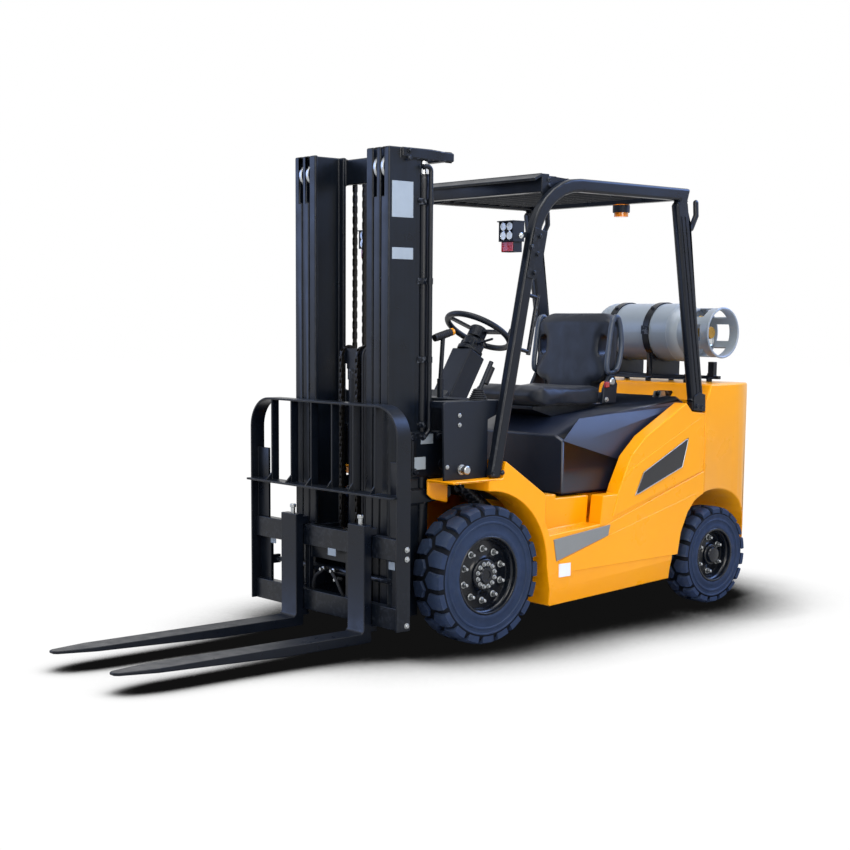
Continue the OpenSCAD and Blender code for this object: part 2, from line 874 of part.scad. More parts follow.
module main_chains() {
    color("#2c2a28")
        pair()
            chain(main_sheave_x, main_sheave_z, main_chain_y, main_sheave_r, 420, 330);
}

module inner_mast() {
    foot = mast_foot + 20;
    cross_x = mast_x - 24;
    color("#191b1e") {
        pair() {
            rail(inner_in, inner_out, inner_out - web_t, inner_out, foot);
            bar_y(rail_mid_x, 240, roller_r, inner_out - 2, mid_in + 17 - stage_gap);
            // stop under the carriage
            box([mast_x + 50, inner_in - 42, foot], [mast_x + 90, inner_in + 4, carriage_z + 49.7]);
            // chain anchor
            box([main_sheave_x + main_sheave_r + chain_t + stage_gap, main_chain_y - 12, 296],
                [cross_x + 4, main_chain_y + 12, 330]);
        }
        box([cross_x, -inner_out, mast_h - 130], [mast_x + 4, inner_out, mast_h - 10]);
        box([cross_x, -inner_out, free_top - 190], [mast_x + 4, inner_out, free_top - 110]);
        box([cross_x, -inner_out, 165], [mast_x + 4, inner_out, 335]);
        // foot of the free-lift cylinder
        box([cross_x, -60, 165], [free_x + 45, 60, 180]);
    }
}

module free_lift_barrel() {
    color("#202226")
        difference() {
            union() {
                post(free_x, 0, free_r, 180, free_top);
                post(free_x, 0, free_r + 4, free_top - 50, free_top);
                box([mast_x + 4, -24, free_top - 170], [free_x, 24, free_top - 130]);
            }
            post(free_x, 0, rod_r + running, 200, free_top + 5);
        }
}

module free_lift_head() {
    axle = 140;
    color("#26282b") {
        post(free_x, 0, rod_r, 240, head_z);
        box([free_x - 28, -42, free_top + 0.2], [free_x + 28, 42, head_z + 36]);
        bar_y(free_x, head_z, 12, -80, axle);
        pair()
            bar_y(free_x, head_z, sheave_r - 0.3, free_chain_y - 13, free_chain_y + 13);
        bar_y(free_x, head_z, sheave_r - 0.3, 96, 136);
    }
}

module free_chains() {
    color("#2c2a28")
        pair()
            chain(free_x, head_z, free_chain_y, sheave_r, 200, 515);
}

module mast_hoses() {
    r = 8;
    turn = sheave_r + r;
    color("#16171a")
        for (y = [106, 126]) {
            translate([free_x, y, head_z])
                rotate([90, 0, 0])
                    rotate_extrude(angle = 180)
                        translate([turn, 0])
                            circle(r = r, $fn = 24);
            post(free_x - turn, y, r, 210, head_z);
            post(free_x + turn, y, r, 505, head_z);
        }
}

module carriage() {
    plate_y = inner_in - 42;
    plate_end = plate_y + 22;
    low = carriage_z + 15;
    high = carriage_top - 10;
    cyl_z = carriage_z + 200;
    cyl_x = base_x + 11;
    color("#1b1d20")
        difference() {
            union() {
                pair() {
                    box([mast_x + 50, plate_y, low + 35], [base_x + 5, plate_end, high]);
                    for (z = [low + 115, high - 75]) {
                        bar_y(rail_mid_x, z, roller_r, plate_end + 12, inner_out - web_t - stage_gap);
                        bar_y(rail_mid_x, z, 24, plate_end - 2, plate_end + 14);
                    }
                    box([base_x, plate_y, low], [base_x + 20, plate_end, high]);
                }
                box([base_x, -300, high - 80], [base_x + base_t, 300, high]);
                box([base_x, -300, low], [base_x + base_t, 300, low + 70]);
                // slide pads
                for (y = [-290, 190])
                    for (z = [high - 60, low + 15])
                        box([base_x + base_t - 2, y, z], [bar_x - running, y + 100, z + 40]);
                // chain anchor
                box([free_x + sheave_r + chain_t + 6, -84, high - 46], [base_x + 2, 84, high - 6]);
                // barrel of the side-shift cylinder
                bar_y(cyl_x, cyl_z, 21, -180, 180);
            }
            bar_y(cyl_x, cyl_z, 12 + running, -190, 190);
        }
}

module fork_carriage() {
    end = carriage_w / 2 - 10;
    inner = end - 88;
    low = carriage_z;
    high = carriage_top;
    base_top = carriage_top - 10;
    cyl_z = carriage_z + 200;
    color("#1b1d20") {
        box([bar_x, -end, high - bar_h], [bar_x + bar_t, end, high]);
        box([bar_x, -end, low], [bar_x + bar_t, end, low + bar_h]);
        box([bar_x, -150, high - bar_h - 60], [bar_x + 12, 150, high - bar_h + 2]);
        // hook over the slide
        box([base_x + 15, -300, base_top + running], [bar_x + 2, 300, high - 0.5]);
        pair() {
            box([bar_x, inner, low], [bar_x + 18, end, high]);
            box([bar_x, 140, low + bar_h - 2], [bar_x + 26, 176, high - bar_h + 2]);
            box([base_x - 5, inner, cyl_z - 22], [bar_x + 5, inner + 20, cyl_z + 22]);
        }
    }
}

module shift_rod() {
    end = carriage_w / 2 - 98;
    color("#d9dcdf")
        bar_y(base_x + 11, carriage_z + 200, 12, -end, end);
}

module backrest() {
    t = 10;
    half = carriage_w / 2;
    x0 = bar_x - 8;
    x1 = bar_x + 70;
    corner = 150;
    ledge = 730;
    bars = 7;
    pitch = (2 * half - 2 * t) / bars;
    color("#1b1d20") {
        translate([x0, 0, 0])
            rotate([90, 0, 90])
                linear_extrude(x1 - x0)
                    difference() {
                        union() {
                            translate([-half, carriage_z])
                                square([2 * half, backrest_top - corner - carriage_z]);
                            translate([-half + corner, carriage_z])
                                square([2 * (half - corner), backrest_top - carriage_z]);
                            for (s = [1, -1])
                                translate([s * (half - corner), backrest_top - corner])
                                    circle(r = corner);
                        }
                        translate([-half + t, carriage_z - 5])
                            square([2 * (half - t), backrest_top - corner - carriage_z + 5]);
                        translate([-half + corner, carriage_z - 5])
                            square([2 * (half - corner), backrest_top - t - carriage_z + 5]);
                        for (s = [1, -1])
                            translate([s * (half - corner), backrest_top - corner])
                                circle(r = corner - t);
                    }
        // ledge with its gussets
        box([x0 + 20, -half + t - 1, ledge], [x1 + 32, half - t + 1, ledge + 10]);
        for (i = [1 : bars - 1])
            slab([[x1 - 22, ledge + 8], [x1 + 30, ledge + 8], [x1 - 22, ledge + 60]],
                 -half + t + pitch * i - 4, -half + t + pitch * i + 4);
        for (i = [1 : bars - 1])
            box([x1 - 50, -half + t + pitch * i - 5, ledge + 8],
                [x1 - 8, -half + t + pitch * i + 5, backrest_top - t + 1]);
        // legs down to the fork carriage
        pair()
            box([bar_x + 18, half - 98, carriage_top], [bar_x + 30, half - t + 1, 890]);
    }
}

module fork(y) {
    tip_t = 13;
    tip_w = 60;
    color("#17191c")
        translate([0, y, 0]) {
            intersection() {
                slab([[fork_back, fork_z + 8], [fork_back + 8, fork_z], [fork_face + 420, fork_z],
                      [fork_face + fork_len, fork_z + fork_t - tip_t], [fork_face + fork_len, fork_z + fork_t],
                      [fork_face + 14, fork_z + fork_t], [fork_face, fork_z + fork_t + 14],
                      [fork_face, carriage_top + 50], [fork_back, carriage_top + 50]], -fork_w / 2, fork_w / 2);
                linear_extrude(carriage_top + 100)
                    polygon([[fork_back - 5, -fork_w / 2], [fork_face + fork_len - 190, -fork_w / 2],
                             [fork_face + fork_len - 18, -tip_w / 2], [fork_face + fork_len, -tip_w / 2 + 14],
                             [fork_face + fork_len, tip_w / 2 - 14], [fork_face + fork_len - 18, tip_w / 2],
                             [fork_face + fork_len - 190, fork_w / 2], [fork_back - 5, fork_w / 2]]);
            }
            // hooks on the bars
            box([bar_x + 18, -fork_w / 2, carriage_top + 0.2], [fork_back + 2, fork_w / 2, carriage_top + 36]);
            box([bar_x + 18, -fork_w / 2, carriage_z - 30], [fork_back + 2, fork_w / 2, carriage_z - 0.2]);
        }
}

module fork_left() {
    fork(fork_left_y);
}

module fork_right() {
    fork(-fork_right_y);
}

// children along the tilt cylinder, x from its foot pin to its rod eye
module tilt_line(s) {
    translate([tilt_foot[0], s * tilt_y, tilt_foot[1]])
        rotate([0, -tilt_angle, 0])
            children();
}

module tilt_barrel(s) {
    barrel_r = 36;
    barrel_end = tilt_len - 190;
    color("#202226")
        tilt_line(s)
            difference() {
                union() {
                    bar_y(0, 0, eye_r, -eye_w / 2, eye_w / 2);
                    bar_along(0, 0, barrel_r, 34, barrel_end);
                    bar_along(0, 0, 22, 0, 40);
                }
                bar_y(0, 0, pin_r + 0.05, -60, 60);
                bar_along(0, 0, 18 + running, 60, barrel_end + 5);
            }
}

module tilt_rod(s) {
    color("#d9dcdf")
        tilt_line(s)
            difference() {
                union() {
                    bar_along(0, 0, 18, 150, tilt_len - 20);
                    bar_y(tilt_len, 0, eye_r + 3, -eye_w / 2, eye_w / 2);
                }
                bar_y(tilt_len, 0, pin_r + 4, -60, 60);
            }
}

// the hood's cross-sections: x, height of the top, drop of the bevel, width of the bevel
hood_sections = [[hood_front, 956, 26, 60], [-800, 1030, 104, 66], [hood_rear, 1122, 36, 60]];

// height of the top of the hood at x, behind its front slope
function hood_top(x) =
    hood_sections[1][1] + (hood_sections[1][0] - x) * (hood_sections[2][1] - hood_sections[1][1])
    / (hood_sections[1][0] - hood_sections[2][0]);

// one bevelled section of the hood, drawn in by d
module hood_section(i, d) {
    p = hood_sections[i];
    x = p[0] - (i == 0 ? d : 0) - (i == 2 && d > 0 ? 5 : 0);
    low = d > 0 ? floor_z - 5 : floor_z + 0.3;
    y = hood_y - d;
    z = p[1] - d;
    translate([x - 0.5, 0, 0])
        rotate([90, 0, 90])
            linear_extrude(1)
                polygon([[-y, low], [y, low], [y, z - p[2]], [y - p[3], z], [-y + p[3], z], [-y, z - p[2]]]);
}

module hood() {
    t = 14;
    color("#1c1d1f")
        difference() {
            for (i = [0, 1])
                hull() {
                    hood_section(i, 0);
                    hood_section(i + 1, 0);
                }
            for (i = [0, 1])
                hull() {
                    hood_section(i, t);
                    hood_section(i + 1, t);
                }
        }
}

// brackets on the counterweight, bored for the pins of the hood
module hood_hinges() {
    eye = 15;
    h = hood_hinge;
    slope = [[counter_front + 0.15, 1104.2], [counter_front - 29.85, 1138.2]];
    color("#1a1b1d")
        for (y = [-300, 300])
            difference() {
                union() {
                    slab([slope[0], slope[1], slope[1] + [8, 10], h + [0, eye], h - [0, eye] + [-6, 6],
                          slope[0] + [8, 24]], y - 12, y + 12);
                    bar_y(h[0], h[1], eye, y - 12, y + 12);
                }
                bar_y(h[0], h[1], hinge_pin_r + running, y - 15, y + 15);
            }
}

// lugs on the hood with the pins of its hinges
module hood_pins() {
    h = hood_hinge;
    color("#1a1b1d")
        for (y = [-300, 300]) {
            for (s = [-1, 1])
                slab([[h[0] - 22, hood_top(h[0] - 22) + 0.2], [h[0] + 26, hood_top(h[0] + 26) + 0.2],
                      [h[0] + 12, h[1] + 12], [h[0] - 12, h[1] + 12]], y + 22 * s - 5, y + 22 * s + 5);
            bar_y(h[0], h[1], hinge_pin_r, y - 27, y + 27);
        }
}

seat_rear = -1190;
seat_deck = hood_top(seat_rear) + 10;

module seat_base() {
    half = 190;
    color("#222426") {
        slab([[-660, seat_deck - 18], [hood_sections[1][0] + 4, hood_top(hood_sections[1][0]) + 0.2],
              [seat_rear, hood_top(seat_rear) + 0.2], [seat_rear, seat_deck], [-660, seat_deck]], -half, half);
    }
}

module seat_cushion() {
    half = seat_w / 2;
    z = seat_deck + 0.3;
    corner = 90;
    front = -614;
    rear = -1110;
    color("#1d1e20")
        intersection() {
            slab([[rear, z], [front - 76, z], [front - 14, z + 24], [front, z + 56], [front - 20, z + 92],
                  [front - 64, z + 102], [rear + 160, z + 84], [rear, z + 96]], -half, half);
            linear_extrude(1500) {
                translate([rear - 10, -half])
                    square([front - rear + 10 - corner, 2 * half]);
                translate([front - 200, -half + corner])
                    square([200, 2 * (half - corner)]);
                for (s = [1, -1])
                    translate([front - corner, s * (half - corner)])
                        circle(r = corner);
            }
        }
}

// a rectangle with rounded corners about the z axis of the drawing
module rounded(half, z0, z1, r) {
    translate([-half + r, z0])
        square([2 * (half - r), z1 - z0]);
    translate([-half, z0 + r])
        square([2 * half, z1 - z0 - 2 * r]);
    for (s = [1, -1])
        for (z = [z0 + r, z1 - r])
            translate([s * (half - r), z])
                circle(r = r);
}

module seat_back() {
    half = seat_w / 2 + 17;
    z = seat_deck + 0.3;
    low = z + 100;
    top = z + 492;
    grip = [half - 48, z + 310];
    color("#1d1e20")
        intersection() {
            slab([[-1111, z], [seat_rear, z], [-1214, low], [-1250, top - 60], [-1240, top + 5],
                  [-1190, top + 5], [-1150, top - 60], [-1128, z + 250], [-1111, low + 20]], -half, half);
            translate([-1300, 0, 0])
                rotate([90, 0, 90])
                    linear_extrude(300)
                        difference() {
                            union() {
                                rounded(half, low, top, 96);
                                translate([-170, z - 5])
                                    square([340, low - z + 40]);
                            }
                            // grips in the wings
                            for (s = [1, -1]) {
                                translate([s * grip[0] - 19, grip[1] - 34])
                                    square([38, 68]);
                                for (d = [-34, 34])
                                    translate([s * grip[0], grip[1] + d])
                                        circle(r = 19);
                            }
                        }
        }
}

module lpg_bracket() {
    top = counterweight_top;
    posts = [bottle_y0 + 60, 330];
    straps = [-185, 80];
    color("#1a1b1d") {
        for (x = [bottle_x - 110, bottle_x + 90]) {
            box([x, bottle_y0 + 20, top + 16], [x + 26, 400, top + 34]);
            for (y = [bottle_y0 + 70, 60, 330])
                post(x + 13, y, 16, top, top + 20);
        }
        for (y = straps)
            difference() {
                union() {
                    box([bottle_x - 120, y - 20, top + 30], [bottle_x + 120, y + 20, bottle_z - bottle_r + 60]);
                    bar_y(bottle_x, bottle_z, bottle_r + 7, y - 22, y + 22);
                }
                bar_y(bottle_x, bottle_z, bottle_r + 0.3, y - 30, y + 30);
            }
        for (y = posts)
            box([bottle_x - 112, y, top + 30], [bottle_x - 82, y + 40, bottle_z - bottle_r - 2]);
        // diagonal stay to the rear leg
        rod([bottle_x + 100, -150, top + 40], [bottle_x + 100, 300, top + 26], 9);
    }
}

module lpg_bottle() {
    end = bottle_y1 - collar_len;
    r = bottle_r;
    dome = 80;
    collar_r = r - 26;
    color("#b9bcbd")
        translate([bottle_x, 0, bottle_z])
            rotate([-90, 0, 0]) {
                rotate_extrude() {
                    translate([0, bottle_y0 + dome])
                        square([r, end - bottle_y0 - 2 * dome]);
                    for (c = [bottle_y0 + dome, end - dome])
                        intersection() {
                            translate([0, c - 90])
                                square([r + 5, 180]);
                            translate([r - dome, c])
                                circle(r = dome);
                        }
                    translate([0, bottle_y0])
                        square([r - dome, end - bottle_y0]);
                }
                difference() {
                    translate([0, 0, end - 32])
                        cylinder(h = bottle_y1 - end + 32, r = collar_r);
                    translate([0, 0, end])
                        cylinder(h = bottle_y1 - end + 40, r = collar_r - 7);
                    // hand openings
                    for (a = [0, 60, 120])
                        rotate(a)
                            translate([-300, -45, end + 52])
                                cube([600, 90, 84]);
                }
            }
}

module lpg_valve() {
    end = bottle_y1 - collar_len;
    color("#b08d3c")
        translate([bottle_x, end, bottle_z])
            rotate([-90, 0, 0]) {
                cylinder(h = 60, r = 24);
                translate([0, 0, 55])
                    cylinder(h = 40, r = 34);
                rotate([0, 90, 0])
                    translate([-40, 0, -60])
                        cylinder(h = 90, r = 14);
            }
}

lamp_x = front_top[0] + 90;
lamp_z = rail_z - 235;
lamp_y = leg_y + leg_t / 2 - 14;

module work_lamps() {
    end = before_leg(lamp_z - 30, running);
    color("#191a1c")
        pair() {
            difference() {
                box([lamp_x, lamp_y - 48, lamp_z - 48], [lamp_x + 72, lamp_y + 48, lamp_z + 48]);
                box([lamp_x + 64, lamp_y - 42, lamp_z - 42], [lamp_x + 80, lamp_y + 42, lamp_z + 42]);
            }
            box([lamp_x + 6, lamp_y - 40, lamp_z - 96], [lamp_x + 60, lamp_y + 40, lamp_z - 46]);
            slab([[lamp_x + 5, lamp_z - 6], end + [0, 24], end, [lamp_x + 5, lamp_z - 40]],
                 lamp_y - 10, lamp_y + 10);
        }
}

// four round lenses in each work lamp
module lamp_lenses() {
    color("#e8ecee")
        pair()
            for (y = [-21, 21])
                for (z = [-21, 21])
                    bar_along(lamp_y + y, lamp_z + z, 18, lamp_x + 64.2, lamp_x + 70);
}

module beacon() {
    x = rear_leg_x + 212;
    y = 140;
    color("#e07b12") {
        post(x, y, 38, rail_z - 95, rail_z - 30.2);
        post(x, y, 44, rail_z - 60, rail_z - 30.2);
    }
}

// lamps on the rear beam of the roof
module rear_lamps() {
    back = rear_leg_x + 190 - running;
    color("#9c1c18")
        pair()
            box([back - 30, 370, rail_z - 26], [back, 480, rail_z + 26]);
}

// the whole truck is set out so that its middle is over the origin
module placed() {
    translate([axle_x, 0, 0])
        children();
}

// Piece to draw

placed() frame();
placed() side_bodies();
placed() side_panels();
placed() floor_plate();
placed() cowl();
placed() steering_column();
placed() control_levers();
placed() guard_sides();
placed() guard_roof();
placed() grab_handle();
placed() counterweight();
placed() rear_grille();
placed() hood_hinges();
placed() engine();
placed() front_axle();
placed() rear_axle();
placed() lpg_bracket();
placed() lpg_bottle();
placed() lpg_valve();
placed() work_lamps();
placed() lamp_lenses();
placed() beacon();
placed() rear_lamps();
placed() steering_wheel();
placed() hood();
placed() hood_pins();
placed() seat_base();
placed() seat_cushion();
placed() seat_back();
placed() front_tyre(1);  // front_tyre_left
placed() front_rim(1);  // front_rim_left
placed() front_tyre(-1);  // front_tyre_right
placed() front_rim(-1);  // front_rim_right
placed() knuckle(1);  // rear_knuckle_left
placed() knuckle(-1);  // rear_knuckle_right
placed() rear_tyre(1);  // rear_tyre_left
placed() rear_rim(1);  // rear_rim_left
placed() rear_tyre(-1);  // rear_tyre_right
placed() rear_rim(-1);  // rear_rim_right
placed() outer_mast();
placed() lift_barrels();
placed() mid_mast();
placed() lift_rods();
placed() main_chains();
placed() inner_mast();
placed() free_lift_barrel();
placed() free_lift_head();
placed() free_chains();
placed() mast_hoses();
placed() carriage();
placed() fork_carriage();
placed() shift_rod();
placed() backrest();
placed() fork_left();
placed() fork_right();
placed() tilt_barrel(1);  // tilt_barrel_left
placed() tilt_barrel(-1);  // tilt_barrel_right
placed() tilt_rod(1);  // tilt_rod_left
placed() tilt_rod(-1);  // tilt_rod_right
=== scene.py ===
import json
import math

import bmesh
import bpy
from mathutils import Matrix, Vector

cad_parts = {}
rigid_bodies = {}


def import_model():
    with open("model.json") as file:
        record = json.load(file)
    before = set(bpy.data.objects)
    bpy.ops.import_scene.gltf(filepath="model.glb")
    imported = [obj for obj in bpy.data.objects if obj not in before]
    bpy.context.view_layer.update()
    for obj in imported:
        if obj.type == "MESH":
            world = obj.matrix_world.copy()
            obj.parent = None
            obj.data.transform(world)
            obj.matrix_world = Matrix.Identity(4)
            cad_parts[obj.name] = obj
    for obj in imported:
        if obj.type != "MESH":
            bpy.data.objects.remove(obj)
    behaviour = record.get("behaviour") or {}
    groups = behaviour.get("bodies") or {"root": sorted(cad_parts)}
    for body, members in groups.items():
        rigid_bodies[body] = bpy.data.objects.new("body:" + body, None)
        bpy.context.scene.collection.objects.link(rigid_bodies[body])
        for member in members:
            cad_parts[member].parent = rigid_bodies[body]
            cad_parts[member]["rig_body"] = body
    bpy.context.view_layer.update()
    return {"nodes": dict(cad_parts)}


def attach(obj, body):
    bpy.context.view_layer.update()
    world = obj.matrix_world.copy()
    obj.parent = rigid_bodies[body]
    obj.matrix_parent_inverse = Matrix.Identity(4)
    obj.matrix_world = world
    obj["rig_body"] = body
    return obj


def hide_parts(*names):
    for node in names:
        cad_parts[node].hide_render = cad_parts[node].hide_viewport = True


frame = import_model()
nodes = frame["nodes"]
scene = bpy.context.scene
axleX = 0.155  # front axle in the frame, m
toScene = Matrix.Translation((axleX, 0, 0)) @ Matrix.Scale(0.001, 4)  # mm from the front axle to metres
weldGap = 2e-5  # corners closer than this are one, m
print("frame loaded:", len(nodes), "nodes")

cameraSetup = {
    "place": (5.0047, 5.6279, 1.5246),
    "yaw": 229.624,  # degrees about Z, from +X
    "pitch": -7.20,
    "roll": 0.321,
    "lens": 63.83,  # mm on a 36 mm sensor
    "shift": (0.0292, 0.0998),
}


def addCamera(setup):
    yaw, pitch, roll = (math.radians(setup[k]) for k in ("yaw", "pitch", "roll"))
    ahead = Vector((math.cos(pitch) * math.cos(yaw), math.cos(pitch) * math.sin(yaw), math.sin(pitch)))
    right = Vector((math.sin(yaw), -math.cos(yaw), 0))
    up = right.cross(ahead)
    across = right * math.cos(roll) + up * math.sin(roll)
    upright = up * math.cos(roll) - right * math.sin(roll)
    data = bpy.data.cameras.new("photoCamera")
    data.lens = setup["lens"]
    data.sensor_width = 36
    data.shift_x, data.shift_y = setup["shift"]
    data.clip_end = 200
    camera = bpy.data.objects.new("photoCamera", data)
    turn = Matrix((across, upright, -ahead)).transposed()
    camera.matrix_world = Matrix.Translation(setup["place"]) @ turn.to_4x4()
    scene.collection.objects.link(camera)
    scene.camera = camera


addCamera(cameraSetup)
scene.view_settings.view_transform = "Standard"


def hexColour(code, alpha=1.0):
    parts = [int(code[i:i + 2], 16) / 255 for i in (1, 3, 5)]
    return tuple(c / 12.92 if c <= 0.04045 else ((c + 0.055) / 1.055) ** 2.4 for c in parts) + (alpha,)


def addNode(tree, kind, settings=None, links=None):
    node = tree.nodes.new(kind)
    for key, value in (settings or {}).items():
        if isinstance(key, str) and hasattr(node, key):
            setattr(node, key, value)
        else:
            node.inputs[key].default_value = value
    for key, source in (links or {}).items():
        tree.links.new(source, node.inputs[key])
    return node


def makeFinish(name, look):
    # colour clouds, worn edges, settled dust, roughness and grain from one description
    material = bpy.data.materials.new(name)
    material.use_nodes = True
    tree = material.node_tree
    shader = tree.nodes["Principled BSDF"]
    for socket in ("Metallic", "Coat Weight", "Coat Roughness", "Sheen Weight", "Specular IOR Level"):
        if socket in look:
            shader.inputs[socket].default_value = look[socket]
    place = addNode(tree, "ShaderNodeTexCoord").outputs["Object"]
    shape = addNode(tree, "ShaderNodeNewGeometry")
    cloud = addNode(tree, "ShaderNodeTexNoise", {"Scale": 1000 / look["patch"], "Detail": 5, "Roughness": 0.6},
                    {"Vector": place})
    paint = addNode(tree, "ShaderNodeMix", {"data_type": "RGBA", 6: hexColour(look["colour"]),
                                            7: hexColour(look["shade"])}, {0: cloud.outputs[0]}).outputs[2]
    if "streak" in look:
        runs = addNode(tree, "ShaderNodeMapping", {"Scale": look["streak"]}, {"Vector": place})
        lines = addNode(tree, "ShaderNodeTexNoise", {"Scale": 1, "Detail": 3}, {"Vector": runs.outputs[0]})
        paint = addNode(tree, "ShaderNodeMix", {"data_type": "RGBA", "blend_type": "OVERLAY", 0: 0.5},
                        {6: paint, 7: lines.outputs[0]}).outputs[2]
    if "dust" in look:
        up = addNode(tree, "ShaderNodeSeparateXYZ", {}, {0: shape.outputs["Normal"]})
        lie = addNode(tree, "ShaderNodeMapRange", {1: 0.3, 2: 1.0, 3: 0.0, 4: look["dustAmount"]}, {0: up.outputs[2]})
        drift = addNode(tree, "ShaderNodeMath", {"operation": "MULTIPLY"}, {0: lie.outputs[0], 1: cloud.outputs[0]})
        paint = addNode(tree, "ShaderNodeMix", {"data_type": "RGBA", 7: hexColour(look["dust"])},
                        {0: drift.outputs[0], 6: paint}).outputs[2]
    if "wear" in look:
        edge = addNode(tree, "ShaderNodeMapRange", {1: look["wearFrom"], 2: look["wearFrom"] + 0.08},
                       {0: shape.outputs["Pointiness"]})
        chips = addNode(tree, "ShaderNodeTexNoise", {"Scale": 1000 / look["wearSize"], "Detail": 6}, {"Vector": place})
        torn = addNode(tree, "ShaderNodeMapRange", {1: 0.52, 2: 0.6}, {0: chips.outputs[0]})
        bare = addNode(tree, "ShaderNodeMath", {"operation": "MULTIPLY"}, {0: edge.outputs[0], 1: torn.outputs[0]})
        paint = addNode(tree, "ShaderNodeMix", {"data_type": "RGBA", 7: hexColour(look["wear"])},
                        {0: bare.outputs[0], 6: paint}).outputs[2]
    tree.links.new(paint, shader.inputs["Base Color"])
    smear = addNode(tree, "ShaderNodeTexNoise", {"Scale": 2600 / look["patch"], "Detail": 4}, {"Vector": place})
    low, high = look["rough"]
    gloss = addNode(tree, "ShaderNodeMapRange", {1: 0.3, 2: 0.7, 3: low, 4: high}, {0: smear.outputs[0]})
    tree.links.new(gloss.outputs[0], shader.inputs["Roughness"])
    if look.get("grainKind") == "cells":
        grain = addNode(tree, "ShaderNodeTexVoronoi", {"Scale": 1000 / look["grain"]}, {"Vector": place}).outputs[0]
    elif look.get("grainKind") == "lines":
        turned = addNode(tree, "ShaderNodeMapping", {"Scale": look["lines"]}, {"Vector": place})
        grain = addNode(tree, "ShaderNodeTexNoise", {"Scale": 1, "Detail": 2}, {"Vector": turned.outputs[0]}).outputs[0]
    else:
        grain = addNode(tree, "ShaderNodeTexNoise", {"Scale": 1000 / look["grain"], "Detail": 2},
                        {"Vector": place}).outputs[0]
    relief = addNode(tree, "ShaderNodeBump", {"Strength": look["relief"], "Distance": look["depth"] / 1000},
                     {"Height": grain})
    tree.links.new(relief.outputs[0], shader.inputs["Normal"])
    return material


# stoving enamel, sprayed: bright, a soft clear gloss, faint orange peel about 4 mm across, chips at edges
yellowEnamel = makeFinish("yellowEnamel", {
    "Specular IOR Level": 0.25, "colour": "#F7A200", "shade": "#EE9600", "patch": 420, "rough": (0.26, 0.38),
    "grain": 4, "relief": 0.05, "depth": 0.4, "Coat Weight": 0.12, "Coat Roughness": 0.12, "dust": "#C9962F",
    "dustAmount": 0.1, "wear": "#B8770A", "wearFrom": 0.58, "wearSize": 14})
# satin black enamel on rolled steel: dark, with a broad bluish sheen and scuffs on its edges
blackEnamel = makeFinish("blackEnamel", {
    "Specular IOR Level": 0.24, "colour": "#070B12", "shade": "#0C121B", "patch": 260, "rough": (0.26, 0.4),
    "grain": 3, "relief": 0.06, "depth": 0.3, "dust": "#3A3F47", "dustAmount": 0.1, "wear": "#4A4E55",
    "wearFrom": 0.56, "wearSize": 18})
# mast rails: hot-rolled channel, brushed enamel, long rubbed streaks down the rails
railSteel = makeFinish("railSteel", {
    "Specular IOR Level": 0.24, "colour": "#070B12", "shade": "#0D141D", "patch": 300, "rough": (0.26, 0.42),
    "grain": 2.5, "relief": 0.06, "depth": 0.3, "streak": (60, 60, 1.2), "wear": "#565A60", "wearFrom": 0.57,
    "wearSize": 30})
# wheel enamel: thick gloss black, stone-chipped
rimEnamel = makeFinish("rimEnamel", {
    "Specular IOR Level": 0.2, "colour": "#06090F", "shade": "#0B1018", "patch": 120, "rough": (0.2, 0.34),
    "grain": 3, "relief": 0.08, "depth": 0.3, "Coat Weight": 0.2, "wear": "#4C5055", "wearFrom": 0.55,
    "wearSize": 12})
# forged fork steel, dipped black: scuffed grey where loads slide
forkSteel = makeFinish("forkSteel", {
    "Specular IOR Level": 0.2, "colour": "#060A12", "shade": "#0C121C", "patch": 140, "rough": (0.26, 0.42),
    "grain": 3, "relief": 0.05, "depth": 0.3, "dust": "#18202C", "dustAmount": 0.12})
# ABS, injection moulded against a spark-eroded tool: matt black with a pebble grain; grain drawn coarse to show
mouldedAbs = makeFinish("mouldedAbs", {
    "Specular IOR Level": 0.26, "colour": "#0B1019", "shade": "#111823", "patch": 300, "rough": (0.36, 0.5),
    "grainKind": "cells", "grain": 3.5, "relief": 0.14, "depth": 0.4, "dust": "#43474D", "dustAmount": 0.12})
# hood skin: the same plastic from a polished tool, with a broad bluish sheen on its bevels
hoodAbs = makeFinish("hoodAbs", {
    "Specular IOR Level": 0.6, "colour": "#0C1220", "shade": "#121B2C", "patch": 400, "rough": (0.36, 0.44),
    "grain": 4, "relief": 0.05, "depth": 0.3})
# seat shell: the same plastic drawn pale, a dull grey-blue, as painted light on the lit sides of the seat's grips
shellPaintedLight = makeFinish("shellPaintedLight", {
    "Specular IOR Level": 0.4, "colour": "#2C3542", "shade": "#394352", "patch": 120, "rough": (0.3, 0.42),
    "grainKind": "cells", "grain": 3, "relief": 0.1, "depth": 0.3})
# PVC-coated seat cloth: calendered leather grain, soft broad highlight
seatVinyl = makeFinish("seatVinyl", {
    "Specular IOR Level": 0.26, "colour": "#0B1019", "shade": "#121925", "patch": 160, "rough": (0.36, 0.5),
    "grainKind": "cells", "grain": 4, "relief": 0.25, "depth": 0.5, "Sheen Weight": 0.08})
# solid tyre rubber, press moulded: blue-grey bloom over carbon black, dull
tyreRubber = makeFinish("tyreRubber", {
    "Specular IOR Level": 0.22, "colour": "#1A2436", "shade": "#27354D", "patch": 90, "rough": (0.6, 0.82),
    "grain": 2.2, "relief": 0.3, "depth": 0.5, "dust": "#3C434D", "dustAmount": 0.15, "wear": "#3A424E",
    "wearFrom": 0.54, "wearSize": 25})
# painted shade: the same rubber drawn near black in the grooves, standing for the shade down between the blocks
grooveRubberPaintedShade = makeFinish("grooveRubberPaintedShade", {
    "Specular IOR Level": 0.15, "colour": "#070A10", "shade": "#0D121B", "patch": 60, "rough": (0.7, 0.85),
    "grain": 2.2, "relief": 0.3, "depth": 0.5})
